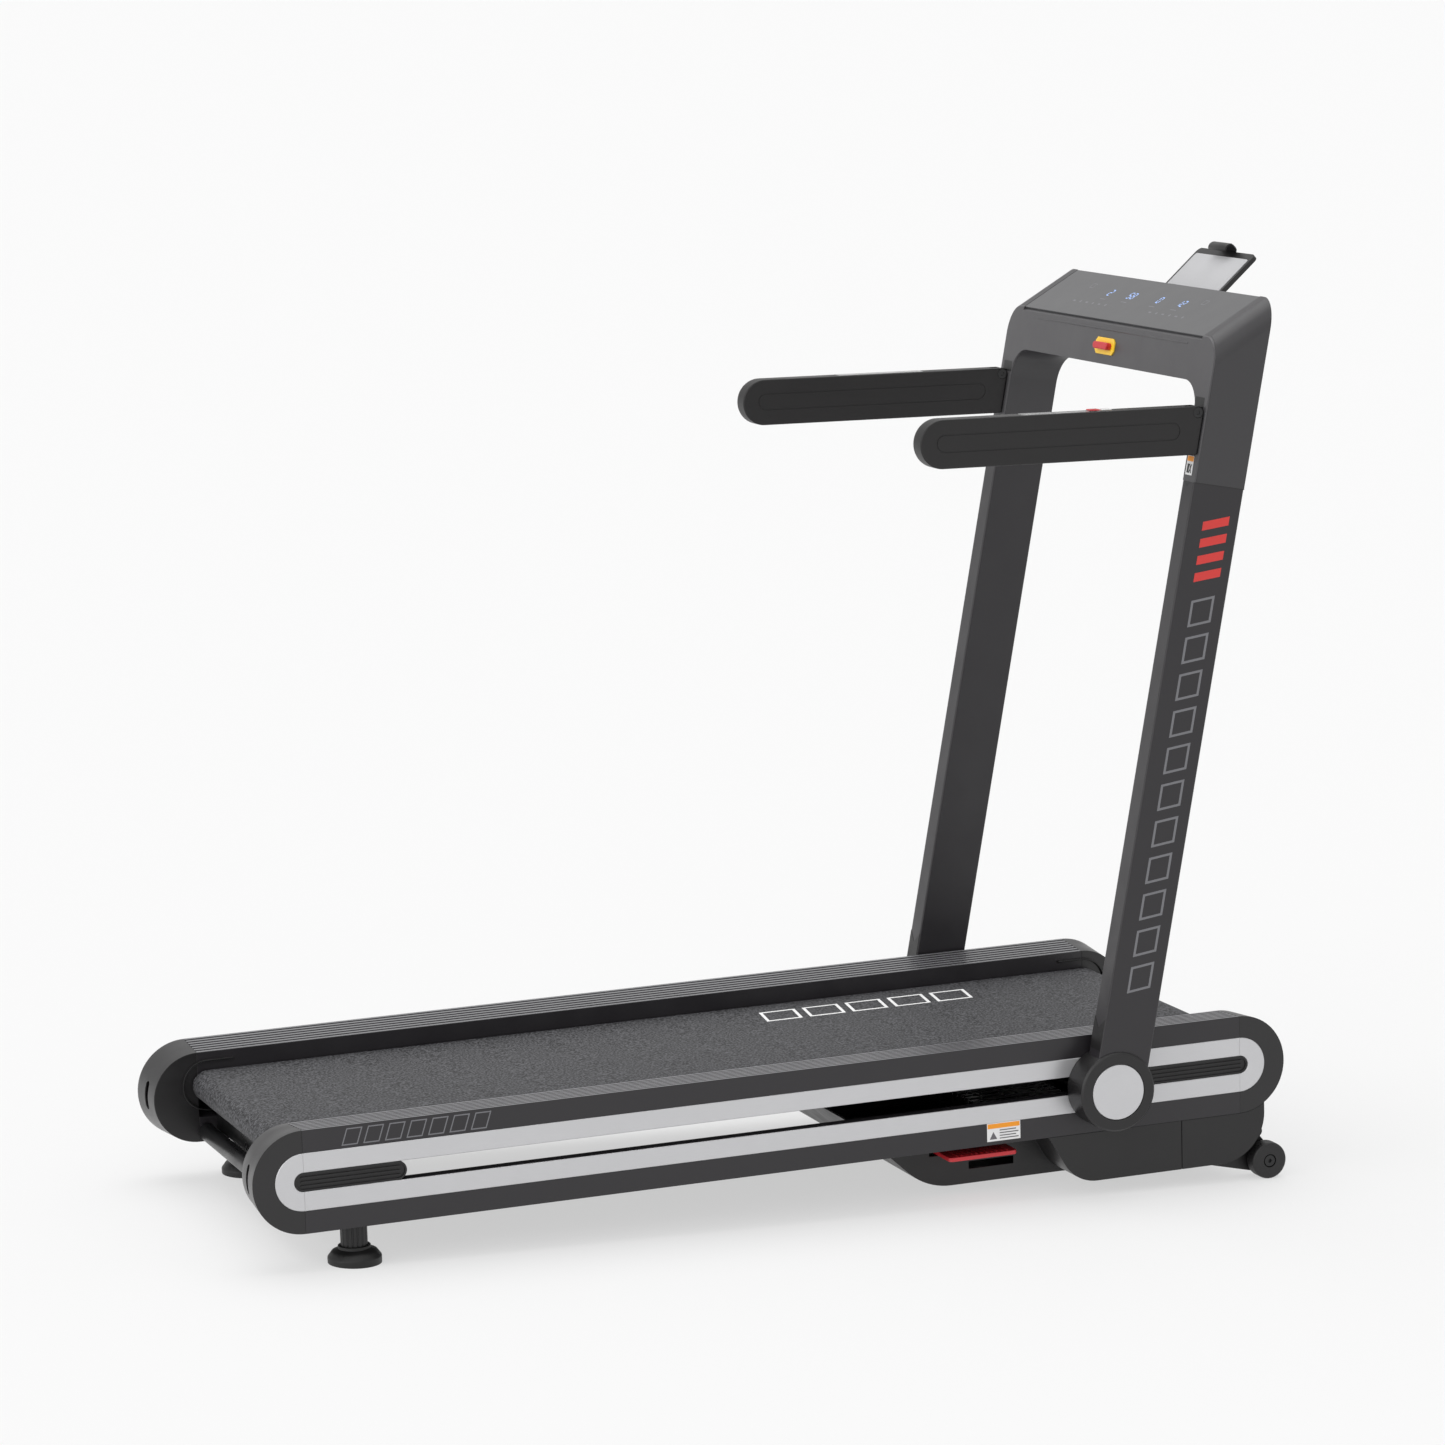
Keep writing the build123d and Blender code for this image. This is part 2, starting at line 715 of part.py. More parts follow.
# ---------------------------------------------------------------- levelling feet
collar_top = -72.8
collar_bottom = -110
flute_count = 16
for side_name, side in SIDES:
    with BuildPart() as stem:
        disc(deck_flat(foot_x, side * foot_y, collar_bottom), 19, collar_top - collar_bottom)
        with BuildSketch(deck_flat(foot_x, side * foot_y, collar_bottom)):
            with PolarLocations(19.4, flute_count):
                Circle(1.5)
        extrude(amount=collar_top - collar_bottom - 4, mode=Mode.SUBTRACT)
        disc(deck_flat(foot_x, side * foot_y, collar_top), 6, 24)
    stem.part.label = f"foot_stem_{side_name}"
    export_step(stem.part, f"parts/foot_stem_{side_name}.step")

    with BuildPart() as pad:
        with BuildSketch(deck_cross(foot_x, side * foot_y)):
            with BuildLine():
                Polyline(
                    (0, -foot_sole - 4),
                    (38, -foot_sole - 4),
                    (38, -123),
                    (32, -115),
                    (23, collar_bottom - 1),
                    (23, collar_bottom + 3),
                    (20, collar_bottom + 3),
                    (20, collar_bottom),
                    (0, collar_bottom),
                    close=True,
                )
            make_face()
        revolve(axis=Axis(deck_point(foot_x, side * foot_y, 0), deck_flat(0, 0, 0).z_dir))
        split(bisect_by=Plane.XY, keep=Keep.TOP)
    pad.part.label = f"foot_pad_{side_name}"
    export_step(pad.part, f"parts/foot_pad_{side_name}.step")

# ---------------------------------------------------------------- release pedal
pin_y = -212
with BuildPart() as pedal:
    with BuildSketch(deck_flat(pedal_x, -(293 + 206) / 2, pedal_z - pedal_thick / 2)):
        RectangleRounded(pedal_long, 293 - 206, 6)
    extrude(amount=pedal_thick)
    with BuildSketch(deck_cross(pedal_x - 30, pin_y, pedal_z)):
        Circle(8)
    extrude(amount=60)
    with BuildSketch(deck_cross(pedal_x - 60, pin_y, pedal_z)):
        Circle(4 + shaft_gap)
    extrude(amount=120, mode=Mode.SUBTRACT)
pedal.part.label = "release_pedal"
export_step(pedal.part, "parts/release_pedal.step")

with BuildPart() as pedal_pin:
    with BuildSketch(deck_cross(pedal_x - 66, pin_y, pedal_z)):
        Circle(4)
    extrude(amount=132)
    # Ears on the pan's side wall carry the pin on both sides of the window.
    for end_x in (pedal_x - 66, pedal_x + 60):
        with BuildSketch(deck_cross(end_x, (pin_y - narrow_half + pan_wall) / 2 + 4, pedal_z)):
            RectangleRounded(narrow_half - pan_wall + pin_y + 8, 18, 2)
        extrude(amount=6)
pedal_pin.part.label = "pedal_bracket"
export_step(pedal_pin.part, "parts/pedal_bracket.step")

# ---------------------------------------------------------------- mast
shaft_radius = 8
barrel_out = 304
with BuildPart() as barrels:
    for side in (1, -1):
        near = side * rail_inner
        far = side * barrel_out
        bar_across(hub_x, hub_z, pivot_barrel_radius, near, far)
        bar_across(hub_x, hub_z, shaft_radius + shaft_gap, near, far, Mode.SUBTRACT)
barrels.part.label = "pivot_barrels"
export_step(barrels.part, "parts/pivot_barrels.step")

with BuildPart() as shafts:
    for side in (1, -1):
        bar_across(hub_x, hub_z, shaft_radius, side * (rail_inner + 2), side * 350)
shafts.part.label = "pivot_shafts"
export_step(shafts.part, "parts/pivot_shafts.step")

hub_back = rail_outer + band_proud + 0.7
disc_radius = 41
for side_name, side in SIDES:
    with BuildPart() as hub:
        with BuildSketch(deck_cross(hub_x, 0, hub_z)):
            with BuildLine():
                Polyline(
                    (side * hub_back, shaft_radius),
                    (side * hub_back, 20),
                    (side * 342, 20),
                    (side * 345, 26),
                    (side * 345, hub_radius - 4),
                    (side * hub_back, hub_radius - 4),
                    (side * hub_back, hub_radius),
                    (side * (hub_face - 3), hub_radius),
                    (side * hub_face, hub_radius - 3),
                    (side * hub_face, disc_radius + 0.6),
                    (side * (hub_face - 3.5), disc_radius + 0.6),
                    (side * (hub_face - 3.5), shaft_radius),
                    close=True,
                )
            make_face()
        revolve(axis=deck_axis(hub_x, hub_z))
    hub.part.label = f"hub_{side_name}"
    export_step(hub.part, f"parts/hub_{side_name}.step")

with BuildPart() as hub_discs:
    for side in (1, -1):
        bar_across(hub_x, hub_z, disc_radius, side * (hub_face - 3.5), side * hub_face)
        chamfer(hub_discs.faces().sort_by(Axis.Y)[-1 if side > 0 else 0].edges(), 0.8)
hub_discs.part.label = "hub_discs"
export_step(hub_discs.part, "parts/hub_discs.step")

upright_wall = 2.5
upright_depth = upright_front - upright_back
upright_mid = (upright_front + upright_back) / 2
upright_width = upright_outer - upright_inner
upright_y = (upright_outer + upright_inner) / 2
for side_name, side in SIDES:
    with BuildPart() as upright:
        with BuildSketch(mast_flat(upright_mid, side * upright_y, 0)):
            RectangleRounded(upright_depth, upright_width, 3)
            offset(amount=-upright_wall, mode=Mode.SUBTRACT)
        extrude(amount=seam_height)
        bar_across(hub_x, hub_z, hub_radius, side * 300, side * 360, Mode.SUBTRACT)
    upright.part.label = f"upright_{side_name}"
    export_step(upright.part, f"parts/upright_{side_name}.step")

# ---------------------------------------------------------------- console
console_foot = seam_height
shell_wall = 3
glass_thick = 4
glass_half = 305
top_angle = atan2(console_front_height - console_back_height, upright_depth)
top_slope = (console_front_height - console_back_height) / upright_depth
top_way = (mast_point(1, 0, top_slope) - mast_point(0, 0, 0)).normalized()


def console_outline(inset, top_inset, foot):
    """Side outline of the console; its top rises towards the front."""
    back = upright_back + inset
    front = upright_front - inset
    down = top_inset / cos(top_angle)
    with BuildLine() as outline:
        Polyline(
            (back, foot),
            (front, foot),
            (front, console_front_height - inset * top_slope - down),
            (back, console_back_height + inset * top_slope - down),
            close=True,
        )
    make_face(outline.edges())


def arch(grow):
    """The opening under the console's bridge, with rounded upper corners."""
    half = upright_inner - grow
    with BuildLine() as outline:
        Polyline(
            (-half, 800),
            (-half, arch_height + grow),
            (half, arch_height + grow),
            (half, 800),
            close=True,
        )
    make_face(outline.edges())
    fillet(vertices().group_by(Axis.Y)[-1], arch_corner)


with BuildPart() as console_block:
    with BuildSketch(mast_side(0)):
        console_outline(0, 0, console_foot)
    extrude(amount=upright_outer, both=True)
    fillet(console_block.edges().filter_by(Axis((0, 0, 0), top_way)), console_corner)
    with BuildSketch(mast_face(-60)):
        arch(0)
    extrude(amount=130, mode=Mode.SUBTRACT)

with BuildPart() as console_room:
    with BuildSketch(mast_side(0)):
        console_outline(shell_wall, shell_wall + glass_thick, console_foot - 10)
    extrude(amount=upright_outer - shell_wall, both=True)
    fillet(console_room.edges().filter_by(Axis((0, 0, 0), top_way)), console_corner - shell_wall)
    with BuildSketch(mast_face(-60)):
        with BuildLine():
            Polyline(
                (-upright_inner - shell_wall, 800),
                (-upright_inner - shell_wall, arch_height + shell_wall),
                (upright_inner + shell_wall, arch_height + shell_wall),
                (upright_inner + shell_wall, 800),
                close=True,
            )
        make_face()
    extrude(amount=130, mode=Mode.SUBTRACT)

top_plane = Plane(
    MAST
    * Location((upright_back, 0, console_back_height), (0, -degrees(top_angle), 0))
)
top_long = hypot(upright_depth, console_front_height - console_back_height)
fascia_plane = mast_face(upright_back + shell_wall)
tongue_thick = 10
with BuildPart() as shell:
    add(console_block.part)
    add(console_room.part, mode=Mode.SUBTRACT)
    with BuildSketch(top_plane.offset(-glass_thick)):
        with Locations((top_long / 2, 0)):
            Rectangle(top_long + 20, 2 * glass_half)
    extrude(amount=20, mode=Mode.SUBTRACT)
    split(bisect_by=fascia_plane, keep=Keep.TOP)
shell.part.label = "console_shell"
export_step(shell.part, "parts/console_shell.step")

with BuildPart() as glass:
    with BuildSketch(top_plane.offset(-glass_thick)):
        with Locations((top_long / 2 + 0.4, 0)):
            RectangleRounded(top_long - 2.6, 2 * glass_half - 0.8, 1.5)
    extrude(amount=glass_thick - 0.4)
glass.part.label = "console_glass"
export_step(glass.part, "parts/console_glass.step")

key_s = 1062
with BuildPart() as fascia:
    add(console_block.part)
    split(bisect_by=fascia_plane, keep=Keep.BOTTOM)
    with BuildSketch(top_plane.offset(-glass_thick)):
        with Locations((top_long / 2, 0)):
            Rectangle(top_long + 20, 2 * glass_half)
    extrude(amount=20, mode=Mode.SUBTRACT)
    with BuildSketch(mast_face(upright_back, 0, 1087)):
        SlotOverall(526, 2.4)
    extrude(amount=-0.8)
    for side in (1, -1):
        with BuildSketch(mast_face(-60, side * handle_y, handle_pivot_s - 8)):
            Rectangle(tongue_thick + 0.4, 44)
        extrude(amount=60, mode=Mode.SUBTRACT)
fascia.part.label = "console_fascia"
export_step(fascia.part, "parts/console_fascia.step")

# Safety key: a magnetic bar on a bright eight-sided seat.
seat_plane = mast_face(upright_back, 0, key_s)
seat_thick = 2.2
with BuildPart() as seat:
    with BuildSketch(seat_plane):
        Rectangle(64, 25)
        chamfer(vertices(), 6)
    extrude(amount=-seat_thick)
seat.part.label = "safety_key_seat"
export_step(seat.part, "parts/safety_key_seat.step")

with BuildPart() as key:
    with BuildSketch(mast_face(upright_back - seat_thick - 0.05, 0, key_s)):
        SlotOverall(47, 11)
    extrude(amount=-9)
    fillet(key.faces().sort_by(Axis.X)[0].edges(), 2)
key.part.label = "safety_key"
export_step(key.part, "parts/safety_key.step")

# ---------------------------------------------------------------- handrails
# Each hangs on a bolt through its top front corner and a steel tongue; its slanted front
# end butts on the console, so it holds almost level and can only swing up.
pivot_place = mast_point(handle_pivot_n, 0, handle_pivot_s)
end_gap = 0.4
corner_r = handle_pivot_drop
tip_r = handle_height / 2
tip_x = -handle_length + tip_r
handle_low = handle_pivot_drop - handle_height
end_lean = world_lean + handle_droop
lean_rad = radians(end_lean)
HANDLE = Location((pivot_place.X, 0, pivot_place.Z), (0, -handle_droop, 0))


def handle_plane(y, x=0, z=0):
    return Plane(HANDLE * Location((x, y, z)) * Plane.XZ.location)


def handle_outline():
    front_x = corner_r * cos(lean_rad)
    front_z = -corner_r * sin(lean_rad)
    run = (front_z - handle_low) / cos(lean_rad)
    heel_x = front_x - run * sin(lean_rad)
    with BuildLine() as outline:
        Line((tip_x, handle_pivot_drop), (0, handle_pivot_drop))
        CenterArc((0, 0), corner_r, -end_lean, 90 + end_lean)
        Line((front_x, front_z), (heel_x, handle_low))
        Line((heel_x, handle_low), (tip_x, handle_low))
        CenterArc((tip_x, (handle_pivot_drop + handle_low) / 2), tip_r, 90, 180)
    make_face(outline.edges())


bolt_radius = 5
head_radius = 7.6
groove_long = 381
groove_x = -219.5
groove_z = -25
plate_wide = 20
plate_x = -203.5
for side_name, side in SIDES:
    face_y = side * (handle_y + handle_thick / 2)
    inner_y = side * (handle_y - handle_thick / 2)
    with BuildPart() as handle:
        with BuildSketch(handle_plane(max(face_y, inner_y))):
            handle_outline()
        extrude(amount=handle_thick)
        fillet(handle.faces().filter_by(Axis.Y).edges(), 2.5)
        for y, way in ((max(face_y, inner_y), 1), (min(face_y, inner_y), -1)):
            with BuildSketch(handle_plane(y, groove_x, groove_z)):
                SlotOverall(groove_long, 26)
                SlotOverall(groove_long - 3.6, 22.4, mode=Mode.SUBTRACT)
            extrude(amount=way * 0.9, mode=Mode.SUBTRACT)
            with BuildSketch(handle_plane(y)):
                Circle(head_radius + 0.4)
            extrude(amount=way * 3, mode=Mode.SUBTRACT)
        # Slot for the tongue, wide enough for the whole swing.
        with BuildSketch(handle_plane(side * handle_y + tongue_thick / 2 + 0.4)):
            with BuildLine():
                Polyline((-16, 14), (14, 14), (14, -46), (-16, -46), close=True)
            make_face()
        extrude(amount=tongue_thick + 0.8, mode=Mode.SUBTRACT)
        with BuildSketch(handle_plane(side * handle_y + handle_thick / 2)):
            Circle(bolt_radius + shaft_gap)
        extrude(amount=handle_thick, mode=Mode.SUBTRACT)
        # Seat for the sensor plate on the top face.
        with Locations(HANDLE * Location((plate_x, side * handle_y, handle_pivot_drop))):
            Box(142, plate_wide + 0.4, 1.6, mode=Mode.SUBTRACT)
    handle.part.label = f"handrail_{side_name}"
    export_step(handle.part, f"parts/handrail_{side_name}.step")

with BuildPart() as tongues:
    for side in (1, -1):
        y = side * handle_y + tongue_thick / 2
        with BuildSketch(mast_side(y, handle_pivot_n, handle_pivot_s)):
            with BuildLine():
                Polyline((0, 8.5), (40, 8.5), (40, -30), (8, -30), (0, -8.5), close=True)
            make_face()
            Circle(8.5)
        extrude(amount=tongue_thick)
        with BuildSketch(handle_plane(side * handle_y + handle_thick / 2 - 2.5)):
            Circle(bolt_radius)
        extrude(amount=handle_thick - 5)
        for way in (1, -1):
            with BuildSketch(handle_plane(side * handle_y + way * (handle_thick / 2 - 0.4))):
                Circle(head_radius)
                RegularPolygon(3.4, 6, mode=Mode.SUBTRACT)
            extrude(amount=way * 2.4)
            with BuildSketch(handle_plane(side * handle_y + way * (handle_thick / 2 - 1.8))):
                Circle(head_radius)
            extrude(amount=way * 1)
tongues.part.label = "handrail_pivots"
export_step(tongues.part, "parts/handrail_pivots.step")

key_wide = 15.5
with BuildPart() as plate_left:
    with Locations(HANDLE * Location((plate_x, handle_y, handle_pivot_drop - 0.1))):
        Box(141.4, plate_wide, 1.4)
plate_left.part.label = "pulse_plate_left"
export_step(plate_left.part, "parts/pulse_plate_left.step")

# The right plate is split: a sensor behind, and a low bed for the two speed keys in front.
with BuildPart() as plate_right:
    with Locations(HANDLE * Location((plate_x, -handle_y, handle_pivot_drop - 0.5))):
        Box(141.4, plate_wide, 0.6)
    with Locations(HANDLE * Location((plate_x - 45, -handle_y, handle_pivot_drop + 0.2))):
        Box(49, plate_wide - 2, 0.8)
plate_right.part.label = "pulse_plate_right"
export_step(plate_right.part, "parts/pulse_plate_right.step")

key_lift = 1.5              # middle of a key above the handrail's top
for key_name, key_x in (("speed_key_up", -142), ("speed_key_down", -160)):
    with BuildPart() as speed_key:
        with Locations(HANDLE * Location((key_x, -handle_y, handle_pivot_drop + key_lift))):
            Box(key_wide, plate_wide - 5, 1.5)
            chamfer(speed_key.faces().sort_by(Axis.Z)[-1].edges(), 0.4)
    speed_key.part.label = key_name
    export_step(speed_key.part, f"parts/{key_name}.step")

# ---------------------------------------------------------------- phone rest
rest_n = 54                 # hinge in front of the console's front wall
rest_s = 1117
rest_angle = 52.2           # from the mast's forward normal
rest_wide = 184
rest_long = 138
rest_thick = 7
pin_radius = 3
REST = MAST * Location((rest_n, 0, rest_s), (0, -rest_angle, 0))


def rest_plane(up, y=0, lift=0):
    """Plane of the phone rest; up is measured from the hinge along the plate."""
    return Plane(REST * Location((up, y, lift)))


with BuildPart() as rest_bracket:
    for side in (1, -1):
        with BuildSketch(mast_side(side * 41 + 3, rest_n, rest_s)):
            with BuildLine():
                root = upright_front - rest_n
                Polyline((root, 14), (0, 7), (0, -7), (root, -14), close=True)
            make_face()
            Circle(7)
        extrude(amount=6)
    add(console_block.part, mode=Mode.SUBTRACT)
    with BuildSketch(mast_side(47, rest_n, rest_s)):
        Circle(pin_radius)
    extrude(amount=94)
rest_bracket.part.label = "phone_rest_bracket"
export_step(rest_bracket.part, "parts/phone_rest_bracket.step")

knuckle_half = 37.5
with BuildPart() as rest:
    with BuildSketch(rest_plane(rest_long / 2 + 6, 0, -rest_thick / 2)):
        RectangleRounded(rest_long - 6, rest_wide, 9)
    extrude(amount=rest_thick)
    with BuildSketch(mast_side(knuckle_half, rest_n, rest_s)):
        Circle(6.5)
    extrude(amount=2 * knuckle_half)
    with BuildSketch(rest_plane(8, 0, 0)):
        Rectangle(16, 2 * knuckle_half)
    extrude(amount=2.5, both=True)
    # Ledge that carries the phone's lower edge.
    with BuildSketch(rest_plane(13, 0, 0)):
        Rectangle(4, 110)
    extrude(amount=16)
    with BuildSketch(mast_side(60, rest_n, rest_s)):
        Circle(pin_radius + shaft_gap)
    extrude(amount=120, mode=Mode.SUBTRACT)
    # Recess for the pad, and the clamp's channel through the upper edge.
    with BuildSketch(rest_plane(74, 0, rest_thick / 2 - 1.2)):
        RectangleRounded(112, rest_wide - 12, 5)
    extrude(amount=4, mode=Mode.SUBTRACT)
    with BuildSketch(rest_plane(112, 0, -2.3)):
        Rectangle(80, 40)
    extrude(amount=4, mode=Mode.SUBTRACT)
rest.part.label = "phone_rest"
export_step(rest.part, "parts/phone_rest.step")

with BuildPart() as pad:
    with BuildSketch(rest_plane(74, 0, rest_thick / 2 - 1.1)):
        RectangleRounded(111, rest_wide - 13, 4.6)
    extrude(amount=1.5)
    with BuildSketch(rest_plane(16, 0, rest_thick / 2 - 1.1)):
        Rectangle(14, 200)
    extrude(amount=1.5, mode=Mode.SUBTRACT)
pad.part.label = "phone_pad"
export_step(pad.part, "parts/phone_pad.step")

# Sprung clamp: a flat slider in the channel with a hook over the phone's upper edge.
hook_at = rest_long + 6
with BuildPart() as clamp:
    with BuildSketch(rest_plane((82 + hook_at) / 2, 0, -2)):
        Rectangle(hook_at - 82, 39)
    extrude(amount=3.4)
    with BuildSketch(rest_plane(hook_at, 0, -2)):
        Rectangle(5, 60)
    extrude(amount=24)
    with BuildSketch(rest_plane(hook_at - 7, 0, 19)):
        Rectangle(14, 60)
    extrude(amount=3)
    with BuildSketch(rest_plane(hook_at - 12.5, 0, 16)):
        Rectangle(3, 60)
    extrude(amount=3)
clamp.part.label = "phone_clamp"
export_step(clamp.part, "parts/phone_clamp.step")

# ---------------------------------------------------------------- places of the joints
for place_name, place in (
    ("mast pivot", deck_point(hub_x, 0, hub_z)),
    ("front roller", deck_point(front_roller_x, 0, rollers_z)),
    ("rear roller", deck_point(rear_roller_x, 0, rollers_z)),
    ("motor", deck_point(motor_x, 0, motor_z)),
    ("wheels", deck_point(wheel_x, 0, wheel_z)),
    ("pedal pin", deck_point(pedal_x, pin_y, pedal_z)),
    ("rocker", deck_point(inlet_face - 3, switch_y, inlet_z)),
    ("handrail pivot", pivot_place),
    ("phone rest pin", mast_point(rest_n, 0, rest_s)),
):
    print(f"{place_name:16s} {place.X:9.2f} {place.Y:8.2f} {place.Z:8.2f}")
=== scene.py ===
# %% [markdown]
# # A flat-folding treadmill, dressed around its CAD frame
#
# The treadmill is two slotted side rails with a running belt between them, a belly casing with the
# motor, and a mast: two leaning uprights joined by a bridge console, with swing-up handrails and a
# phone rest. The CAD model already holds every size and every joint, so this notebook only gives
# each piece its real surface: soft edges, grain, brushing, printing and small moulded detail.
# Everything is in metres and stands in the CAD model's own frame.

# %% Load the fixed frame
import json
import math

import bmesh
import bpy
from mathutils import Matrix, Vector


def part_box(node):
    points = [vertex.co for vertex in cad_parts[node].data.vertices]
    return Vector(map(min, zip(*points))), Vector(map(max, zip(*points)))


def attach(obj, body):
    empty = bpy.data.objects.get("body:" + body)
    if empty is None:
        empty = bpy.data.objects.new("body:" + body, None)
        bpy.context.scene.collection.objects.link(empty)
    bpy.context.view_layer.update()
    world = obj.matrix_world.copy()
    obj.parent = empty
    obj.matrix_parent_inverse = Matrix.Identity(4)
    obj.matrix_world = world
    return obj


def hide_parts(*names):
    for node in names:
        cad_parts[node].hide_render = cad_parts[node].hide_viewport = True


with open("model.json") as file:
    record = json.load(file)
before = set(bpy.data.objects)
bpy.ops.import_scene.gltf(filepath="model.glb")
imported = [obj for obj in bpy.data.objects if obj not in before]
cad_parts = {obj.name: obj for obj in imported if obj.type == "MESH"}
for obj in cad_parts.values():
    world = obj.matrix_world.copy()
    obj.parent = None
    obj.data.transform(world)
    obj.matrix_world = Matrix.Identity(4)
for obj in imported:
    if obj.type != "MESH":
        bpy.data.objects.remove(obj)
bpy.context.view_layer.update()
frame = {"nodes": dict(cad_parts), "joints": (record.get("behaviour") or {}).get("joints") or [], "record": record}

# %% [markdown]
# ## Two frames of reference
#
# The deck stands about 2 degrees nose-up and the mast leans about 9 degrees forward. Each gets its
# own axes, read from the joints: the pedal's hinge lies along the deck, and the safety key pulls
# straight back out of the mast. Both frames are in millimetres, as a maker would measure them:
# the deck's from the centre of the rails' rounded rear ends, the mast's from the hub.

# %% Deck and mast axes
MM = 0.001
joints = {joint["name"]: joint for joint in frame["joints"]}
LEFT = Vector((0, 1, 0))
SIDES = {"right": -1, "left": 1}
hub = Vector(joints["mast_fold"]["pos_m"])
deck_forward = Vector(joints["release_pedal_press"]["axis"]).normalized()
mast_forward = -Vector(joints["safety_key_pull"]["axis"]).normalized()
hub_along_deck = 1218
hub_above_deck = -4.5


def axes_at(origin, x_axis, y_axis):
    """A right-handed frame in millimetres, placed in the world in metres."""
    z_axis = x_axis.cross(y_axis)
    turn = Matrix((x_axis, y_axis, z_axis)).transposed().to_4x4()
    return Matrix.Translation(origin) @ turn @ Matrix.Scale(MM, 4)


DECK = axes_at(hub, deck_forward, LEFT) @ Matrix.Translation((-hub_along_deck, 0, -hub_above_deck))
MAST = axes_at(hub, mast_forward, LEFT)


def side_of(frame_matrix, along, y, up, outward=-1):
    """A drawing plane on a side face: x runs forward on the right side, and z points outward."""
    turn = Matrix(((-outward, 0, 0), (0, 0, outward), (0, 1, 0))).to_4x4()
    return frame_matrix @ Matrix.Translation((along, y, up)) @ turn


print("deck axis", deck_forward, "mast axis", mast_forward)

# %% [markdown]
# ## The camera
#
# A long lens stands about seven metres off, to the rear right of the treadmill and a little above
# its console, so the near rail shows its slotted side and the belt runs away to the right. A
# short lens close by would make the near end loom; the long one keeps the rails almost parallel.

# %% Camera
camera_place = Vector((-2.6245, -6.6756, 1.8242))
camera_azimuth = math.radians(21.467)
camera_drop = math.radians(9.03)
camera_roll = math.radians(0.2045)
camera_lens = 123.22
camera = bpy.data.objects.new("camera", bpy.data.cameras.new("camera"))
camera.data.lens = camera_lens
camera.data.clip_end = 500
level = Vector((math.sin(camera_azimuth), math.cos(camera_azimuth), 0)) * math.cos(camera_drop)
looking = level - Vector((0, 0, math.sin(camera_drop)))
turn = looking.to_track_quat("-Z", "Y").to_matrix().to_4x4()
camera.matrix_world = Matrix.Translation(camera_place) @ turn @ Matrix.Rotation(camera_roll, 4, "Z")
bpy.context.scene.collection.objects.link(camera)
bpy.context.scene.camera = camera

# %% [markdown]
# ## A pale studio
#
# The floor is one wide pale sheet, lit from below like a studio's light table, so that the shadow
# on it stays pale. A wide overhead light makes the ribbed tops bright and leaves the sides dark;
# weaker ones fill the near side and the faces that look to the rear, and a dome of soft light gives
# the long surfaces something to reflect at low angles.

# %% Floor, dome and lamps
floor_shade = 0.30
floor_glow = 0.56
dome_top = 1.0
dome_rim = 0.8
backdrop = 0.915


def studio_floor():
    mesh = bpy.data.meshes.new("studio_floor")
    half = 300
    corners = [(-half, -half, 0), (half, -half, 0), (half, half, 0), (-half, half, 0)]
    mesh.from_pydata(corners, [], [(0, 1, 2, 3)])
    floor = bpy.data.objects.new("studio_floor", mesh)
    bpy.context.scene.collection.objects.link(floor)
    paint = bpy.data.materials.new("studio_floor")
    paint.use_nodes = True
    shader = paint.node_tree.nodes["Principled BSDF"]
    shader.inputs["Base Color"].default_value = (floor_shade, floor_shade, floor_shade, 1)
    shader.inputs["Roughness"].default_value = 1
    shader.inputs["Specular IOR Level"].default_value = 0
    shader.inputs["Emission Color"].default_value = (1, 1, 1, 1)
    shader.inputs["Emission Strength"].default_value = floor_glow
    mesh.materials.append(paint)
    return floor


def soft_sun(name, strength, spread, aim):
    lamp = bpy.data.objects.new(name, bpy.data.lights.new(name, "SUN"))
    lamp.data.energy = strength
    lamp.data.angle = math.radians(spread)
    lamp.rotation_mode = "QUATERNION"
    lamp.rotation_quaternion = Vector(aim).to_track_quat("-Z", "Y")
    bpy.context.scene.collection.objects.link(lamp)
    return lamp


def dome():
    world = bpy.data.worlds.new("dome")
    bpy.context.scene.world = world
    world.use_nodes = True
    nodes, links = world.node_tree.nodes, world.node_tree.links
    nodes.clear()
    way = nodes.new("ShaderNodeTexCoord")
    split = nodes.new("ShaderNodeSeparateXYZ")
    height = nodes.new("ShaderNodeMapRange")
    height.inputs["From Min"].default_value = -0.1
    height.inputs["From Max"].default_value = 0.9
    height.inputs["To Min"].default_value = dome_rim
    height.inputs["To Max"].default_value = dome_top
    light = nodes.new("ShaderNodeBackground")
    seen = nodes.new("ShaderNodeBackground")
    seen.inputs["Color"].default_value = (backdrop, backdrop, backdrop, 1)
    mix = nodes.new("ShaderNodeMixShader")
    path = nodes.new("ShaderNodeLightPath")
    out = nodes.new("ShaderNodeOutputWorld")
    links.new(way.outputs["Generated"], split.inputs[0])
    links.new(split.outputs["Z"], height.inputs["Value"])
    links.new(height.outputs["Result"], light.inputs["Strength"])
    links.new(path.outputs["Is Camera Ray"], mix.inputs["Fac"])
    links.new(light.outputs[0], mix.inputs[1])
    links.new(seen.outputs[0], mix.inputs[2])
    links.new(mix.outputs[0], out.inputs["Surface"])


bpy.context.scene.view_settings.view_transform = "Standard"
studio_floor()
dome()
soft_sun("overhead", 1.3, 60, (0, -0.25, -1))
soft_sun("from_behind_the_camera", 0.25, 40, (0.35, 0.75, -0.55))
soft_sun("from_the_rear_end", 1.0, 50, (1, 0.2, -0.45))

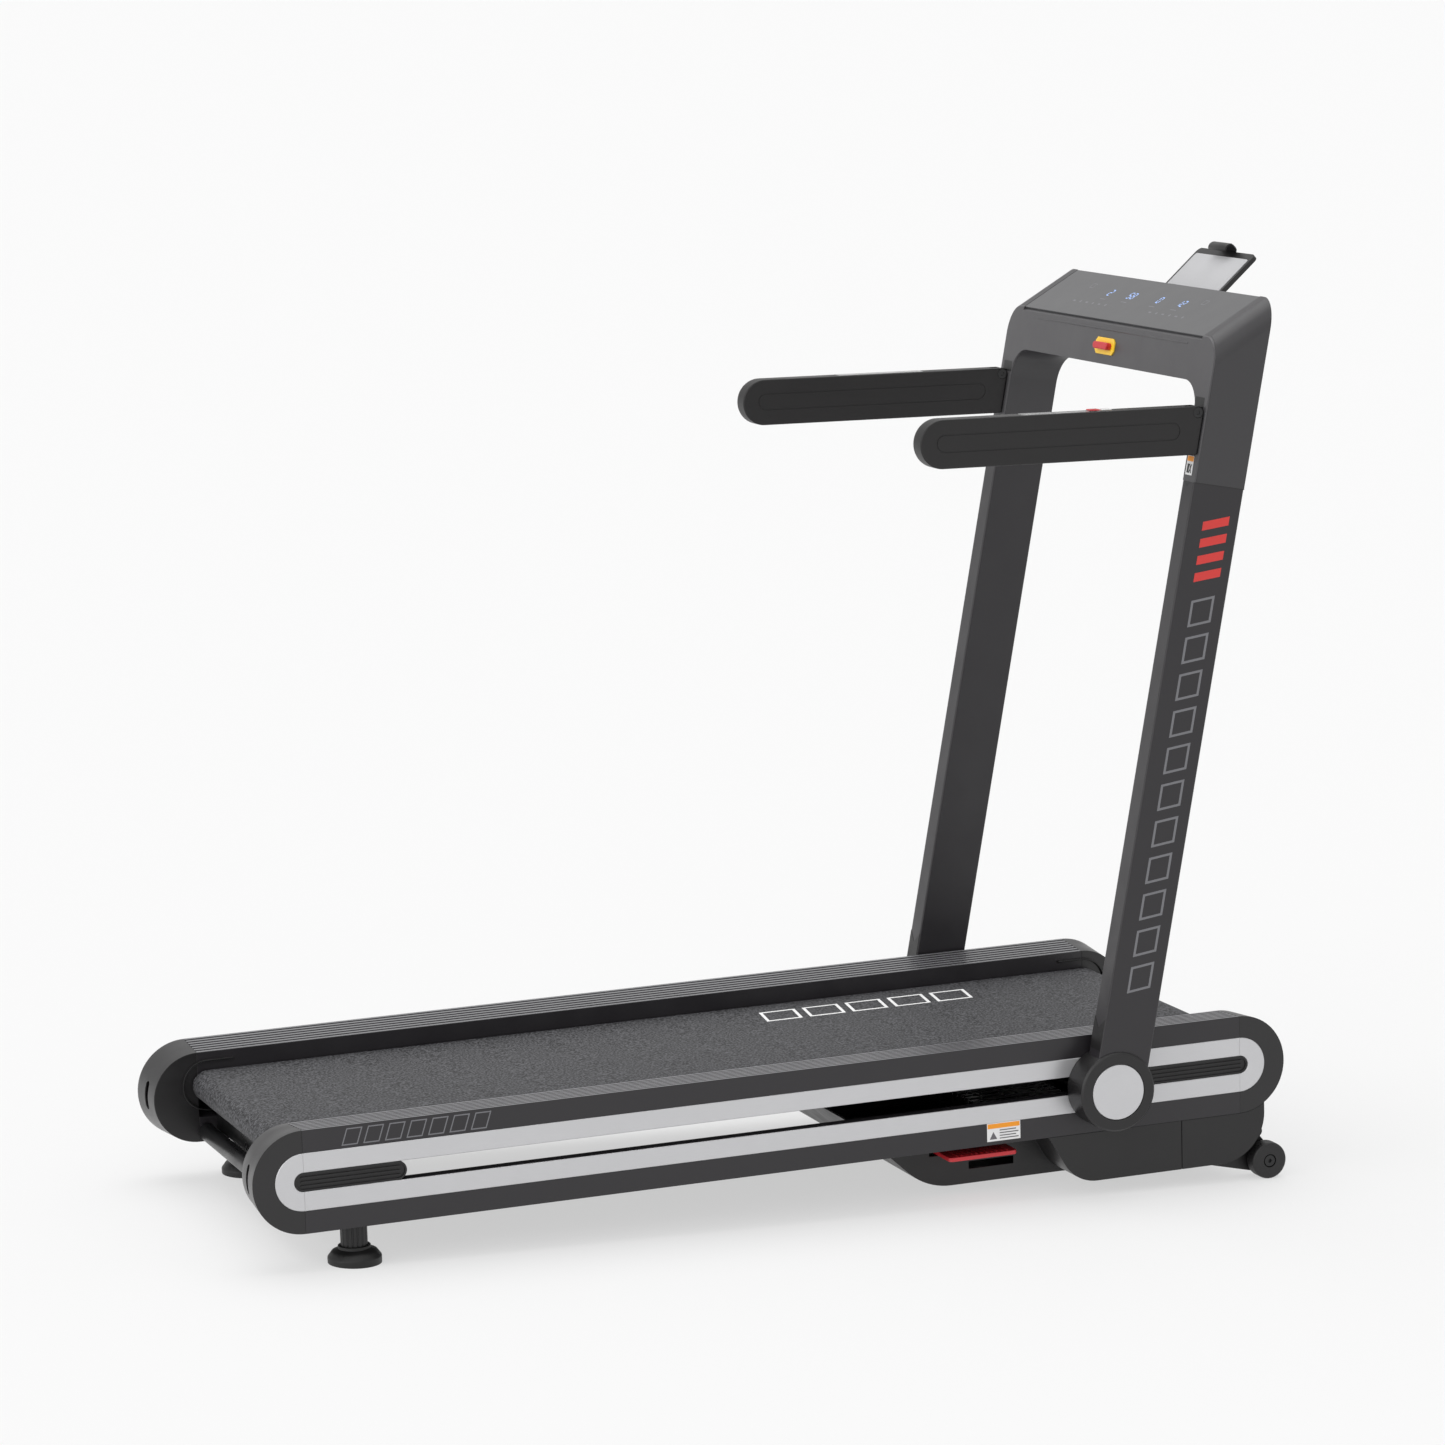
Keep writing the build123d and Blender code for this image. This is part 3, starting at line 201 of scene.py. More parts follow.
# %% [markdown]
# ## Finishes
#
# Every surface on the real machine is one of a few finishes: powder coat, moulded plastic, satin
# anodised trim, rubber, a gloss panel or bright steel. One recipe covers them. Noise in the
# piece's own coordinates shifts the colour a little, moves the roughness, and raises a fine grain.
# What differs is the size of that grain, how strong it is, and how the surface shines.


# %% The finish recipe
def tone(red, green, blue):
    """A screen colour from 0 to 255 as the linear colour that a shader wants."""
    def linear(value):
        value /= 255
        return value / 12.92 if value <= 0.04045 else ((value + 0.055) / 1.055) ** 2.4
    return (linear(red), linear(green), linear(blue), 1)


def scaled(colour, factor):
    return tuple(min(1, part * factor) for part in colour[:3]) + (1,)


def add_noise(nodes, links, coordinates, size, detail, stretch=None):
    """Noise with features about size metres across, stretched along one axis if asked."""
    noise = nodes.new("ShaderNodeTexNoise")
    noise.inputs["Scale"].default_value = 1 / size
    noise.inputs["Detail"].default_value = detail
    if stretch:
        mapping = nodes.new("ShaderNodeMapping")
        mapping.inputs["Scale"].default_value = stretch
        links.new(coordinates, mapping.inputs["Vector"])
        coordinates = mapping.outputs["Vector"]
    links.new(coordinates, noise.inputs["Vector"])
    return noise


def finish(name, colour, rough, metal=0.0, grain=0.0006, bump=0.12, mottle=0.12, cloud=0.05,
           coat=0.0, level=0.5, stretch=None, rough_swing=0.06):
    """Grain is the size of the fine texture and cloud that of the slow drift, both in metres."""
    paint = bpy.data.materials.new(name)
    paint.use_nodes = True
    nodes, links = paint.node_tree.nodes, paint.node_tree.links
    shader = nodes["Principled BSDF"]
    shader.inputs["Metallic"].default_value = metal
    shader.inputs["Specular IOR Level"].default_value = level
    shader.inputs["Coat Weight"].default_value = coat
    shader.inputs["Coat Roughness"].default_value = 0.08
    place = nodes.new("ShaderNodeTexCoord").outputs["Object"]
    drift = add_noise(nodes, links, place, cloud, 2)
    fine = add_noise(nodes, links, place, grain, 3, stretch)
    ramp = nodes.new("ShaderNodeValToRGB")
    ramp.color_ramp.elements[0].position = 0.3
    ramp.color_ramp.elements[1].position = 0.7
    ramp.color_ramp.elements[0].color = scaled(colour, 1 - mottle)
    ramp.color_ramp.elements[1].color = scaled(colour, 1 + mottle)
    both = nodes.new("ShaderNodeMath")
    both.operation = "MULTIPLY_ADD"
    both.inputs[1].default_value = 0.5
    half = nodes.new("ShaderNodeMath")
    half.operation = "MULTIPLY"
    half.inputs[1].default_value = 0.5
    links.new(drift.outputs["Fac"], half.inputs[0])
    links.new(fine.outputs["Fac"], both.inputs[0])
    links.new(half.outputs[0], both.inputs[2])
    links.new(both.outputs[0], ramp.inputs["Fac"])
    links.new(ramp.outputs["Color"], shader.inputs["Base Color"])
    swing = nodes.new("ShaderNodeMapRange")
    swing.inputs["From Min"].default_value = 0.3
    swing.inputs["From Max"].default_value = 0.7
    swing.inputs["To Min"].default_value = rough - rough_swing
    swing.inputs["To Max"].default_value = rough + rough_swing
    links.new(drift.outputs["Fac"], swing.inputs["Value"])
    links.new(swing.outputs["Result"], shader.inputs["Roughness"])
    raised = nodes.new("ShaderNodeBump")
    raised.inputs["Strength"].default_value = bump
    raised.inputs["Distance"].default_value = grain * 0.5
    links.new(fine.outputs["Fac"], raised.inputs["Height"])
    links.new(raised.outputs["Normal"], shader.inputs["Normal"])
    return paint


# %% [markdown]
# The belt is the one surface with a character of its own: a black weave printed with an
# orange-peel grain, which the light catches as thousands of pale specks. A cell pattern gives the
# little domes as bumps, and a second noise paints the pale specks into the colour as painted
# highlights and sets the roughness with them.


# %% Belt rubber
def belt_rubber():
    paint = bpy.data.materials.new("belt_rubber")
    paint.use_nodes = True
    nodes, links = paint.node_tree.nodes, paint.node_tree.links
    shader = nodes["Principled BSDF"]
    shader.inputs["Specular IOR Level"].default_value = 0.35
    place = nodes.new("ShaderNodeTexCoord").outputs["Object"]
    grain = nodes.new("ShaderNodeTexVoronoi")
    grain.feature = "SMOOTH_F1"
    grain.inputs["Scale"].default_value = 1 / 0.0030
    grain.inputs["Smoothness"].default_value = 0.6
    links.new(place, grain.inputs["Vector"])
    # The pale specks in the colour are painted highlights on the grain.
    glint_specks = add_noise(nodes, links, place, 0.0034, 3)
    colour = nodes.new("ShaderNodeValToRGB")
    colour.color_ramp.elements[0].position = 0.38
    colour.color_ramp.elements[0].color = tone(22, 22, 24)
    colour.color_ramp.elements[1].position = 0.66
    colour.color_ramp.elements[1].color = tone(92, 92, 95)
    links.new(glint_specks.outputs["Fac"], colour.inputs["Fac"])
    links.new(colour.outputs["Color"], shader.inputs["Base Color"])
    shine = nodes.new("ShaderNodeMapRange")
    shine.inputs["To Min"].default_value = 0.5
    shine.inputs["To Max"].default_value = 0.85
    links.new(glint_specks.outputs["Fac"], shine.inputs["Value"])
    links.new(shine.outputs["Result"], shader.inputs["Roughness"])
    domes = nodes.new("ShaderNodeBump")
    domes.invert = True
    domes.inputs["Strength"].default_value = 0.8
    domes.inputs["Distance"].default_value = 0.0012
    links.new(grain.outputs["Distance"], domes.inputs["Height"])
    links.new(domes.outputs["Normal"], shader.inputs["Normal"])
    return paint


# %% [markdown]
# The console's digits are light behind a tinted panel, so they glow without any grain.


# %% Lit digits
def lit(name, colour, strength):
    paint = bpy.data.materials.new(name)
    paint.use_nodes = True
    shader = paint.node_tree.nodes["Principled BSDF"]
    shader.inputs["Base Color"].default_value = scaled(colour, 0.3)
    shader.inputs["Roughness"].default_value = 0.3
    shader.inputs["Emission Color"].default_value = colour
    shader.inputs["Emission Strength"].default_value = strength
    return paint


# %% Mix every finish once
powder_coat = finish("powder_coat", tone(36, 34, 37), 0.34, grain=0.0009, bump=0.10, mottle=0.05)
cap_plastic = finish("cap_plastic", tone(30, 29, 30), 0.34, grain=0.0007, bump=0.08, mottle=0.05)
rib_plastic = finish("rib_plastic", tone(18, 17, 18), 0.42, grain=0.0008, bump=0.15)
satin_trim = finish("satin_trim", tone(200, 200, 202), 0.36, metal=0.6, grain=0.0005, bump=0.05,
                    mottle=0.03, stretch=(0.03, 1, 1), rough_swing=0.03)
console_paint = finish("console_paint", tone(54, 53, 55), 0.38, grain=0.0007, bump=0.07,
                       mottle=0.04)
# The fascia is the console's paint made lighter: painted light for the light it gets from the rear.
fascia_paint = finish("fascia_paint", tone(72, 71, 73), 0.38, grain=0.0007, bump=0.07,
                      mottle=0.04)
# The strips on the rails' rib crests get a lighter finish: a painted highlight.
ridge_shine = finish("ridge_shine", tone(118, 118, 121), 0.34, metal=0.3, grain=0.0007, bump=0.05,
                     mottle=0.05, stretch=(0.03, 1, 1))
tinted_panel = finish("tinted_panel", tone(58, 58, 60), 0.30, grain=0.02, bump=0.0, mottle=0.03,
                      coat=0.3, rough_swing=0.02)
grip_plastic = finish("grip_plastic", tone(15, 13, 14), 0.46, grain=0.0008, bump=0.22, mottle=0.1)
casing_plastic = finish("casing_plastic", tone(22, 21, 22), 0.40, grain=0.0008, bump=0.15)
wheel_rubber = finish("wheel_rubber", tone(26, 25, 26), 0.5, grain=0.0012, bump=0.25)
foot_rubber = finish("foot_rubber", tone(12, 12, 12), 0.5, grain=0.0012, bump=0.3)
black_steel = finish("black_steel", tone(18, 18, 19), 0.32, grain=0.0008, bump=0.1)
bright_steel = finish("bright_steel", tone(190, 190, 192), 0.25, metal=1.0, grain=0.0006, bump=0.05)
sensor_steel = finish("sensor_steel", tone(205, 205, 205), 0.28, metal=1.0, grain=0.0004,
                      bump=0.05, mottle=0.03, stretch=(0.05, 1, 1))
red_plastic = finish("red_plastic", tone(190, 32, 42), 0.35, bump=0.08, mottle=0.08, coat=0.2)
yellow_plastic = finish("yellow_plastic", tone(240, 196, 40), 0.35, bump=0.08, mottle=0.04,
                        coat=0.2)
white_key = finish("white_key", tone(225, 225, 225), 0.35, bump=0.06, mottle=0.03)
grey_pad = finish("grey_pad", tone(176, 176, 178), 0.5, grain=0.0010, bump=0.25, mottle=0.06)
board_ply = finish("board_ply", tone(96, 74, 52), 0.6, grain=0.0014, bump=0.2, mottle=0.25,
                   stretch=(0.06, 1, 1))
white_print = finish("white_print", tone(232, 232, 232), 0.55, grain=0.0008, bump=0.2, mottle=0.05)
grey_print = finish("grey_print", tone(112, 112, 116), 0.4, bump=0.04, mottle=0.04)
dim_print = finish("dim_print", tone(100, 98, 102), 0.4, bump=0.04, mottle=0.04)
faint_print = finish("faint_print", tone(104, 104, 108), 0.35, bump=0.0, mottle=0.02)
red_print = finish("red_print", tone(206, 52, 48), 0.4, bump=0.04, mottle=0.04)
orange_print = finish("orange_print", tone(238, 150, 30), 0.45, bump=0.04, mottle=0.04)
black_print = finish("black_print", tone(24, 24, 24), 0.4, bump=0.04, mottle=0.04)
blue_light = lit("blue_light", tone(150, 182, 240), 1.1)
belt_surface = belt_rubber()

# %% [markdown]
# ## Softened edges
#
# A CAD solid has knife edges, but every moulded or extruded edge on the real machine is rounded
# and catches a thin line of light. Each visible CAD piece is therefore copied, its loose triangles
# are joined into whole faces, its sharp edges get a small round, and the copy stands for the node.


# %% Copy a CAD piece and round its edges
sharp_angle = math.radians(32)


def keep(name, mesh, body, paint):
    """A finished piece: its place is in its mesh, and it rides on a body of the CAD model."""
    piece = bpy.data.objects.new(name, mesh)
    bpy.context.scene.collection.objects.link(piece)
    mesh.materials.clear()
    mesh.materials.append(paint)
    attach(piece, body)
    return piece


def shade_softly(mesh):
    for face in mesh.polygons:
        face.use_smooth = True
    mesh.set_sharp_from_angle(angle=sharp_angle)


def flat_where_flat(mesh):
    """Lets large faces keep their own direction, so that only the rounds shade softly."""
    holder = bpy.data.objects.new("holder", mesh)
    bpy.context.scene.collection.objects.link(holder)
    weigh = holder.modifiers.new("weigh", "WEIGHTED_NORMAL")
    weigh.weight = 100
    weigh.keep_sharp = True
    bpy.context.view_layer.update()
    live = holder.evaluated_get(bpy.context.evaluated_depsgraph_get())
    result = bpy.data.meshes.new_from_object(live)
    bpy.data.objects.remove(holder)
    return result


body_of = {}
for body_name, members in frame["record"]["behaviour"]["bodies"].items():
    for member in members:
        body_of[member] = body_name


def softened(node, paint, radius=0.5, steps=2, smooth=True):
    """Stands for a CAD node with the same shape, its sharp edges rounded by radius millimetres."""
    mesh = frame["nodes"][node].data.copy()
    work = bmesh.new()
    work.from_mesh(mesh)
    bmesh.ops.remove_doubles(work, verts=work.verts, dist=2e-6)
    flat = math.radians(0.6)
    bmesh.ops.dissolve_limit(work, angle_limit=flat, verts=work.verts, edges=work.edges)
    corners = [edge for edge in work.edges
               if len(edge.link_faces) == 2 and edge.calc_face_angle(0) > sharp_angle]
    if radius > 0:
        bmesh.ops.bevel(work, geom=corners, offset=radius * MM, segments=steps, profile=0.5,
                        affect="EDGES", clamp_overlap=False, loop_slide=False)
    bmesh.ops.triangulate(work, faces=[face for face in work.faces if len(face.verts) > 4])
    work.to_mesh(mesh)
    work.free()
    if smooth:
        shade_softly(mesh)
        mesh = flat_where_flat(mesh)
    else:
        for face in mesh.polygons:
            face.use_smooth = False
    piece = keep(node + "_dressed", mesh, body_of[node], paint)
    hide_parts(node)
    return piece


def painted(node, paint):
    """Keeps a CAD node as it is, for a piece that hides inside, and gives it its finish."""
    slots = frame["nodes"][node].data.materials
    slots.clear()
    slots.append(paint)


# %% [markdown]
# ## Rails, end caps and trims
#
# The rails are powder-coated extrusions with ribbed tops. Their rounded end caps butt on them, and
# the rounded edges leave the fine seam that shows there. The silver bands are anodised strips.
# The rails keep flat shading, because soft shading would smear one light tone over their long
# faces. The other pieces are shaded softly.

# %% Side rails and their trims
for side_name in ("left", "right"):
    for level_name in ("upper", "lower"):
        softened(f"rail_{level_name}_{side_name}", powder_coat, 0.5, smooth=False)
for node in ("rear_caps", "front_caps"):
    softened(node, cap_plastic, 0.6)
softened("slot_bands", satin_trim, 0.25)
softened("slot_plugs", rib_plastic, 0.3)
softened("rear_cross_tube", black_steel, 0)
softened("tension_bolts", black_steel, 0.2)
softened("pivot_barrels", black_steel, 0.4)

# %% [markdown]
# ## Inside the deck
#
# The board, its cushions, the rollers and the drive hide between the rails. Their CAD shapes are
# already what they are, so they keep them and only get their finishes.

# %% Hidden pieces keep their CAD shape
hidden_finishes = {
    "cross_members": black_steel, "deck_cushions": wheel_rubber, "deck_board": board_ply,
    "front_roller": bright_steel, "rear_roller": bright_steel, "roller_bearings": bright_steel,
    "rear_axle": bright_steel, "roller_pulley": rib_plastic, "drive_belt": wheel_rubber,
    "drive_motor": black_steel, "motor_rotor": bright_steel, "motor_controller": sensor_steel,
    "pivot_shafts": bright_steel, "pedal_bracket": bright_steel,
}
for node, paint in hidden_finishes.items():
    painted(node, paint)

# %% [markdown]
# ## The belly casing, wheels and feet
#
# The casing is moulded in two shells with a seam near the front, and its front shell carries the
# arms of the transport wheels. Moulded plastic has wider rounds than the extrusions, so the shells
# get 0.8 mm where the rails get 0.5.

# %% Casing, wheels and feet
softened("belly_pan", casing_plastic, 0.8)
softened("front_cover", casing_plastic, 0.8)
softened("power_inlet", rib_plastic, 0.3)
softened("power_rocker", red_plastic, 0.3)
softened("wheel_arms", rib_plastic, 0.8)
softened("wheel_bolts", black_steel, 0.3)
for side_name in ("left", "right"):
    softened(f"transport_wheel_{side_name}", wheel_rubber, 0.3)
    softened(f"foot_stem_{side_name}", rib_plastic, 0.25)
    softened(f"foot_pad_{side_name}", foot_rubber, 0.8)

# %% [markdown]
# ## The mast
#
# Two painted tubes rise from the round hubs and end in the bridge console. Their shapes are
# already right in the CAD model, so each only needs its edges rounded and a finish. The
# bridge's front is its sides' paint made lighter, as painted light for the light it gets from
# the rear.

# %% Hubs, uprights and console
for side_name in ("left", "right"):
    softened(f"hub_{side_name}", casing_plastic, 0.4)
    softened(f"upright_{side_name}", powder_coat, 0.4)
    softened(f"handrail_{side_name}", grip_plastic, 0.3)
    softened(f"pulse_plate_{side_name}", sensor_steel, 0.15)
softened("hub_discs", satin_trim, 0.2)
softened("console_shell", console_paint, 0.6)
softened("console_fascia", fascia_paint, 0.6)
softened("console_glass", tinted_panel, 0.3)
softened("safety_key_seat", yellow_plastic, 0.3)
softened("safety_key", red_plastic, 0.4)
softened("handrail_pivots", black_steel, 0.3)
softened("speed_key_up", white_key, 0.15)
softened("speed_key_down", red_plastic, 0.15)
softened("phone_rest_bracket", rib_plastic, 0.4)
softened("phone_rest", casing_plastic, 0.4)
softened("phone_pad", grey_pad, 0.3)
softened("release_pedal", red_plastic, 0.6)

# %% [markdown]
# ## Growing repeats with Geometry Nodes
#
# Ribs, treads, screws and flutes are one small shape many times over, so each family is one tree
# with named inputs: the shape, how many, and how far apart. The tree ends by making its instances
# real and giving them a material, and its result becomes a plain mesh in millimetres, which is then
# put in place by a frame matrix.


# %% Helpers for node trees
def new_tree(name, inputs):
    """A tree with named inputs, and its group input and output nodes."""
    tree = bpy.data.node_groups.new(name, "GeometryNodeTree")
    for title, kind in inputs:
        tree.interface.new_socket(title, in_out="INPUT", socket_type="NodeSocket" + kind)
    tree.interface.new_socket("Geometry", in_out="OUTPUT", socket_type="NodeSocketGeometry")
    return tree, tree.nodes.new("NodeGroupInput"), tree.nodes.new("NodeGroupOutput")


def end_tree(tree, given, result, out):
    """Makes instances real, sets the material and feeds the tree's output."""
    real = tree.nodes.new("GeometryNodeRealizeInstances")
    paint = tree.nodes.new("GeometryNodeSetMaterial")
    tree.links.new(result, real.inputs["Geometry"])
    tree.links.new(real.outputs["Geometry"], paint.inputs["Geometry"])
    tree.links.new(given.outputs["Paint"], paint.inputs["Material"])
    tree.links.new(paint.outputs["Geometry"], out.inputs[0])


def grown(tree, frame_matrix, **values):
    """The tree's result as a plain mesh, moved from its own millimetres into place."""
    holder = bpy.data.objects.new(tree.name, bpy.data.meshes.new(tree.name))
    bpy.context.scene.collection.objects.link(holder)
    modifier = holder.modifiers.new("grow", "NODES")
    modifier.node_group = tree
    wanted = {title.replace("_", " ").title(): value for title, value in values.items()}
    for item in tree.interface.items_tree:
        if item.in_out == "INPUT" and item.name in wanted:
            modifier[item.identifier] = wanted[item.name]
    bpy.context.view_layer.update()
    live = holder.evaluated_get(bpy.context.evaluated_depsgraph_get())
    mesh = bpy.data.meshes.new_from_object(live)
    holder.modifiers.remove(modifier)
    bpy.data.objects.remove(holder)
    mesh.transform(frame_matrix)
    return mesh


# %% Trees for a row and for a ring
def row_tree():
    tree, given, out = new_tree("row", [("Shape", "Object"), ("Count", "Int"), ("Step", "Vector"),
                                        ("Paint", "Material")])
    line = tree.nodes.new("GeometryNodeMeshLine")
    line.mode = "OFFSET"
    shape = tree.nodes.new("GeometryNodeObjectInfo")
    place = tree.nodes.new("GeometryNodeInstanceOnPoints")
    tree.links.new(given.outputs["Count"], line.inputs["Count"])
    tree.links.new(given.outputs["Step"], line.inputs["Offset"])
    tree.links.new(given.outputs["Shape"], shape.inputs["Object"])
    tree.links.new(line.outputs["Mesh"], place.inputs["Points"])
    tree.links.new(shape.outputs["Geometry"], place.inputs["Instance"])
    end_tree(tree, given, place.outputs["Instances"], out)
    return tree


def ring_tree():
    """Shapes round the z axis; each shape's own x points outwards."""
    tree, given, out = new_tree("ring", [("Shape", "Object"), ("Count", "Int"), ("Radius", "Float"),
                                         ("Paint", "Material")])
    ring = tree.nodes.new("GeometryNodeMeshCircle")
    shape = tree.nodes.new("GeometryNodeObjectInfo")
    outwards = tree.nodes.new("GeometryNodeInputPosition")
    facing = tree.nodes.new("FunctionNodeAlignRotationToVector")
    facing.axis = "X"
    facing.pivot_axis = "Z"
    place = tree.nodes.new("GeometryNodeInstanceOnPoints")
    tree.links.new(given.outputs["Count"], ring.inputs["Vertices"])
    tree.links.new(given.outputs["Radius"], ring.inputs["Radius"])
    tree.links.new(given.outputs["Shape"], shape.inputs["Object"])
    tree.links.new(outwards.outputs["Position"], facing.inputs["Vector"])
    tree.links.new(facing.outputs["Rotation"], place.inputs["Rotation"])
    tree.links.new(ring.outputs["Mesh"], place.inputs["Points"])
    tree.links.new(shape.outputs["Geometry"], place.inputs["Instance"])
    end_tree(tree, given, place.outputs["Instances"], out)
    return tree


row = row_tree()
ring = ring_tree()


def rounded_block(long, wide, high, round_by, steps=1):
    """A block in millimetres, centred, with rounded edges, to be repeated by a tree."""
    work = bmesh.new()
    bmesh.ops.create_cube(work, size=1)
    bmesh.ops.scale(work, vec=(long, wide, high), verts=work.verts)
    bmesh.ops.bevel(work, geom=work.edges[:], offset=round_by, segments=steps, profile=0.5,
                    affect="EDGES", clamp_overlap=True)
    mesh = bpy.data.meshes.new("block")
    work.to_mesh(mesh)
    work.free()
    return bpy.data.objects.new("block", mesh)


def screw_head(radius, high, sides=16):
    """A round head in millimetres with a six-sided socket, standing on its plane along z."""
    work = bmesh.new()
    rings = []
    for reach, lift, count in ((radius, -0.5, sides), (radius, high * 0.7, sides),
                               (radius * 0.85, high, sides), (radius * 0.5, high, 6),
                               (radius * 0.5, high * 0.3, 6)):
        turns = [2 * math.pi * k / count for k in range(count)]
        rings.append([work.verts.new((reach * math.cos(a), reach * math.sin(a), lift))
                      for a in turns])
    for low, high_ring in ((0, 1), (1, 2), (3, 4)):
        count = len(rings[low])
        for k in range(count):
            work.faces.new((rings[low][k], rings[low][(k + 1) % count],
                            rings[high_ring][(k + 1) % count], rings[high_ring][k]))
    work.faces.new(rings[4])
    work.faces.new(rings[0][::-1])
    edges = [edge for edge in work.edges if len(edge.link_faces) == 1]
    bmesh.ops.bridge_loops(work, edges=edges)
    bmesh.ops.recalc_face_normals(work, faces=work.faces)
    mesh = bpy.data.meshes.new("screw_head")
    work.to_mesh(mesh)
    work.free()
    return bpy.data.objects.new("screw_head", mesh)


# %% [markdown]
# ## The running belt
#
# The belt's path is a rule: a long rectangle with its ends rounded to the rollers' radius. A tree
# draws that path, fillets it and sweeps the belt's flat section along it. Its shape is the CAD
# belt's own, with a softened edge, so it stands for that node.


# %% Belt tree
def belt_tree():
    tree, given, out = new_tree("belt_loop", [("Run", "Float"), ("Radius", "Float"),
                                              ("Width", "Float"), ("Thickness", "Float"),
                                              ("Paint", "Material")])
    add = tree.nodes.new

    def arithmetic(operation, first, second):
        step = add("ShaderNodeMath")
        step.operation = operation
        for side, value in enumerate((first, second)):
            if isinstance(value, (int, float)):
                step.inputs[side].default_value = value
            else:
                tree.links.new(value, step.inputs[side])
        return step.outputs[0]

    across = arithmetic("MULTIPLY", given.outputs["Radius"], 2)
    along = arithmetic("ADD", given.outputs["Run"], across)
    path = add("GeometryNodeCurvePrimitiveQuadrilateral")
    round_ends = add("GeometryNodeFilletCurve")
    upright = add("GeometryNodeSetCurveNormal")
    section = add("GeometryNodeCurvePrimitiveQuadrilateral")
    soften = add("GeometryNodeFilletCurve")
    sweep = add("GeometryNodeCurveToMesh")
    weld = add("GeometryNodeMergeByDistance")
    for fillet_node, count in ((round_ends, 24), (soften, 2)):
        if "Mode" in fillet_node.inputs:
            fillet_node.inputs["Mode"].default_value = "Poly"
        else:
            fillet_node.mode = "POLY"
        fillet_node.inputs["Count"].default_value = count
    if "Mode" in upright.inputs:
        upright.inputs["Mode"].default_value = "Z Up"
    else:
        upright.mode = "Z_UP"
    soften.inputs["Radius"].default_value = 0.6
    weld.inputs["Distance"].default_value = 0.05
    tree.links.new(along, path.inputs["Width"])
    tree.links.new(across, path.inputs["Height"])
    tree.links.new(path.outputs["Curve"], round_ends.inputs["Curve"])
    corner = arithmetic("SUBTRACT", given.outputs["Radius"], 0.01)
    tree.links.new(corner, round_ends.inputs["Radius"])
    tree.links.new(round_ends.outputs["Curve"], upright.inputs["Curve"])
    tree.links.new(given.outputs["Thickness"], section.inputs["Width"])
    tree.links.new(given.outputs["Width"], section.inputs["Height"])
    tree.links.new(section.outputs["Curve"], soften.inputs["Curve"])
    tree.links.new(upright.outputs["Curve"], sweep.inputs["Curve"])
    tree.links.new(soften.outputs["Curve"], sweep.inputs["Profile Curve"])
    tree.links.new(sweep.outputs["Mesh"], weld.inputs["Geometry"])
    end_tree(tree, given, weld.outputs["Geometry"], out)
    return tree


# %% Sweep the belt
roller_radius = 20.9
roller_height = 17.7
rear_roller_at = 14
front_roller_at = 1441
belt_thick = 2
belt_wide = 460
belt_slack = 0.3
belt_middle_radius = roller_radius + belt_slack + belt_thick / 2
belt_top = roller_height + roller_radius + belt_slack + belt_thick
belt_place = side_of(DECK, (rear_roller_at + front_roller_at) / 2, 0, roller_height)
belt_mesh = grown(belt_tree(), belt_place, run=float(front_roller_at - rear_roller_at),
                  radius=belt_middle_radius, width=float(belt_wide), thickness=float(belt_thick),
                  paint=belt_surface)
work = bmesh.new()
work.from_mesh(belt_mesh)
bmesh.ops.recalc_face_normals(work, faces=work.faces)
work.to_mesh(belt_mesh)
work.free()
shade_softly(belt_mesh)
belt = keep("running_belt_dressed", belt_mesh, "deck", belt_surface)
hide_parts("running_belt")
print("belt size", [round(value * 1000, 1) for value in belt.dimensions])

# %% [markdown]
# ## Printed marks
#
# Marks on the belt, the rails, the mast and the stickers are thin slabs cut from a plane: each is
# an outline in millimetres, standing a tenth of a millimetre proud. They could be a picture on a
# UV map, but a slab keeps its edge at any distance and needs no image. Bars, frames and triangles
# are enough for all of them, and no mark is a letter or a name. Two slabs never share a plane
# where they overlap, because that makes black specks.


# %% Cut marks from a plane
def box(x_low, y_low, x_high, y_high):
    return [(x_low, y_low), (x_high, y_low), (x_high, y_high), (x_low, y_high)]


def bar(start, end, width):
    """A straight bar between two points, with its ends square."""
    start, end = Vector(start), Vector(end)
    along = (end - start).normalized() * (width / 2)
    across = Vector((-along.y, along.x))
    return [start - across, end - across, end + across, start + across]


def disc(x, y, radius, sides=24):
    turns = [2 * math.pi * k / sides for k in range(sides)]
    return [(x + radius * math.cos(a), y + radius * math.sin(a)) for a in turns]


def slanted_frame(left, low, wide, tall, slant, stroke):
    """A hollow slanted block, as four bars that meet at mitred corners."""
    outer = [(left, low), (left + wide, low), (left + wide + slant, low + tall),
             (left + slant, low + tall)]
    skew = slant * stroke / tall
    inner = [(left + skew + stroke, low + stroke), (left + skew + wide - stroke, low + stroke),
             (left + slant - skew + wide - stroke, low + tall - stroke),
             (left + slant - skew + stroke, low + tall - stroke)]
    gap = 0.02
    bars = []
    for k in range(4):
        after = (k + 1) % 4
        along = (Vector(outer[after]) - Vector(outer[k])).normalized() * gap
        bars.append([Vector(outer[k]) + along, Vector(outer[after]) - along,
                     Vector(inner[after]) - along, Vector(inner[k]) + along])
    return bars


def slanted_row(start, stop, low, high, count, gap, slant, stroke):
    """Hollow slanted blocks in a row along x."""
    wide = (stop - start - slant + gap) / count - gap
    bars = []
    for k in range(count):
        bars += slanted_frame(start + k * (wide + gap), low, wide, high - low, slant, stroke)
    return bars


def slanted_bar(left, low, wide, tall, slant):
    return [(left, low), (left + wide, low), (left + wide + slant, low + tall),
            (left + slant, low + tall)]


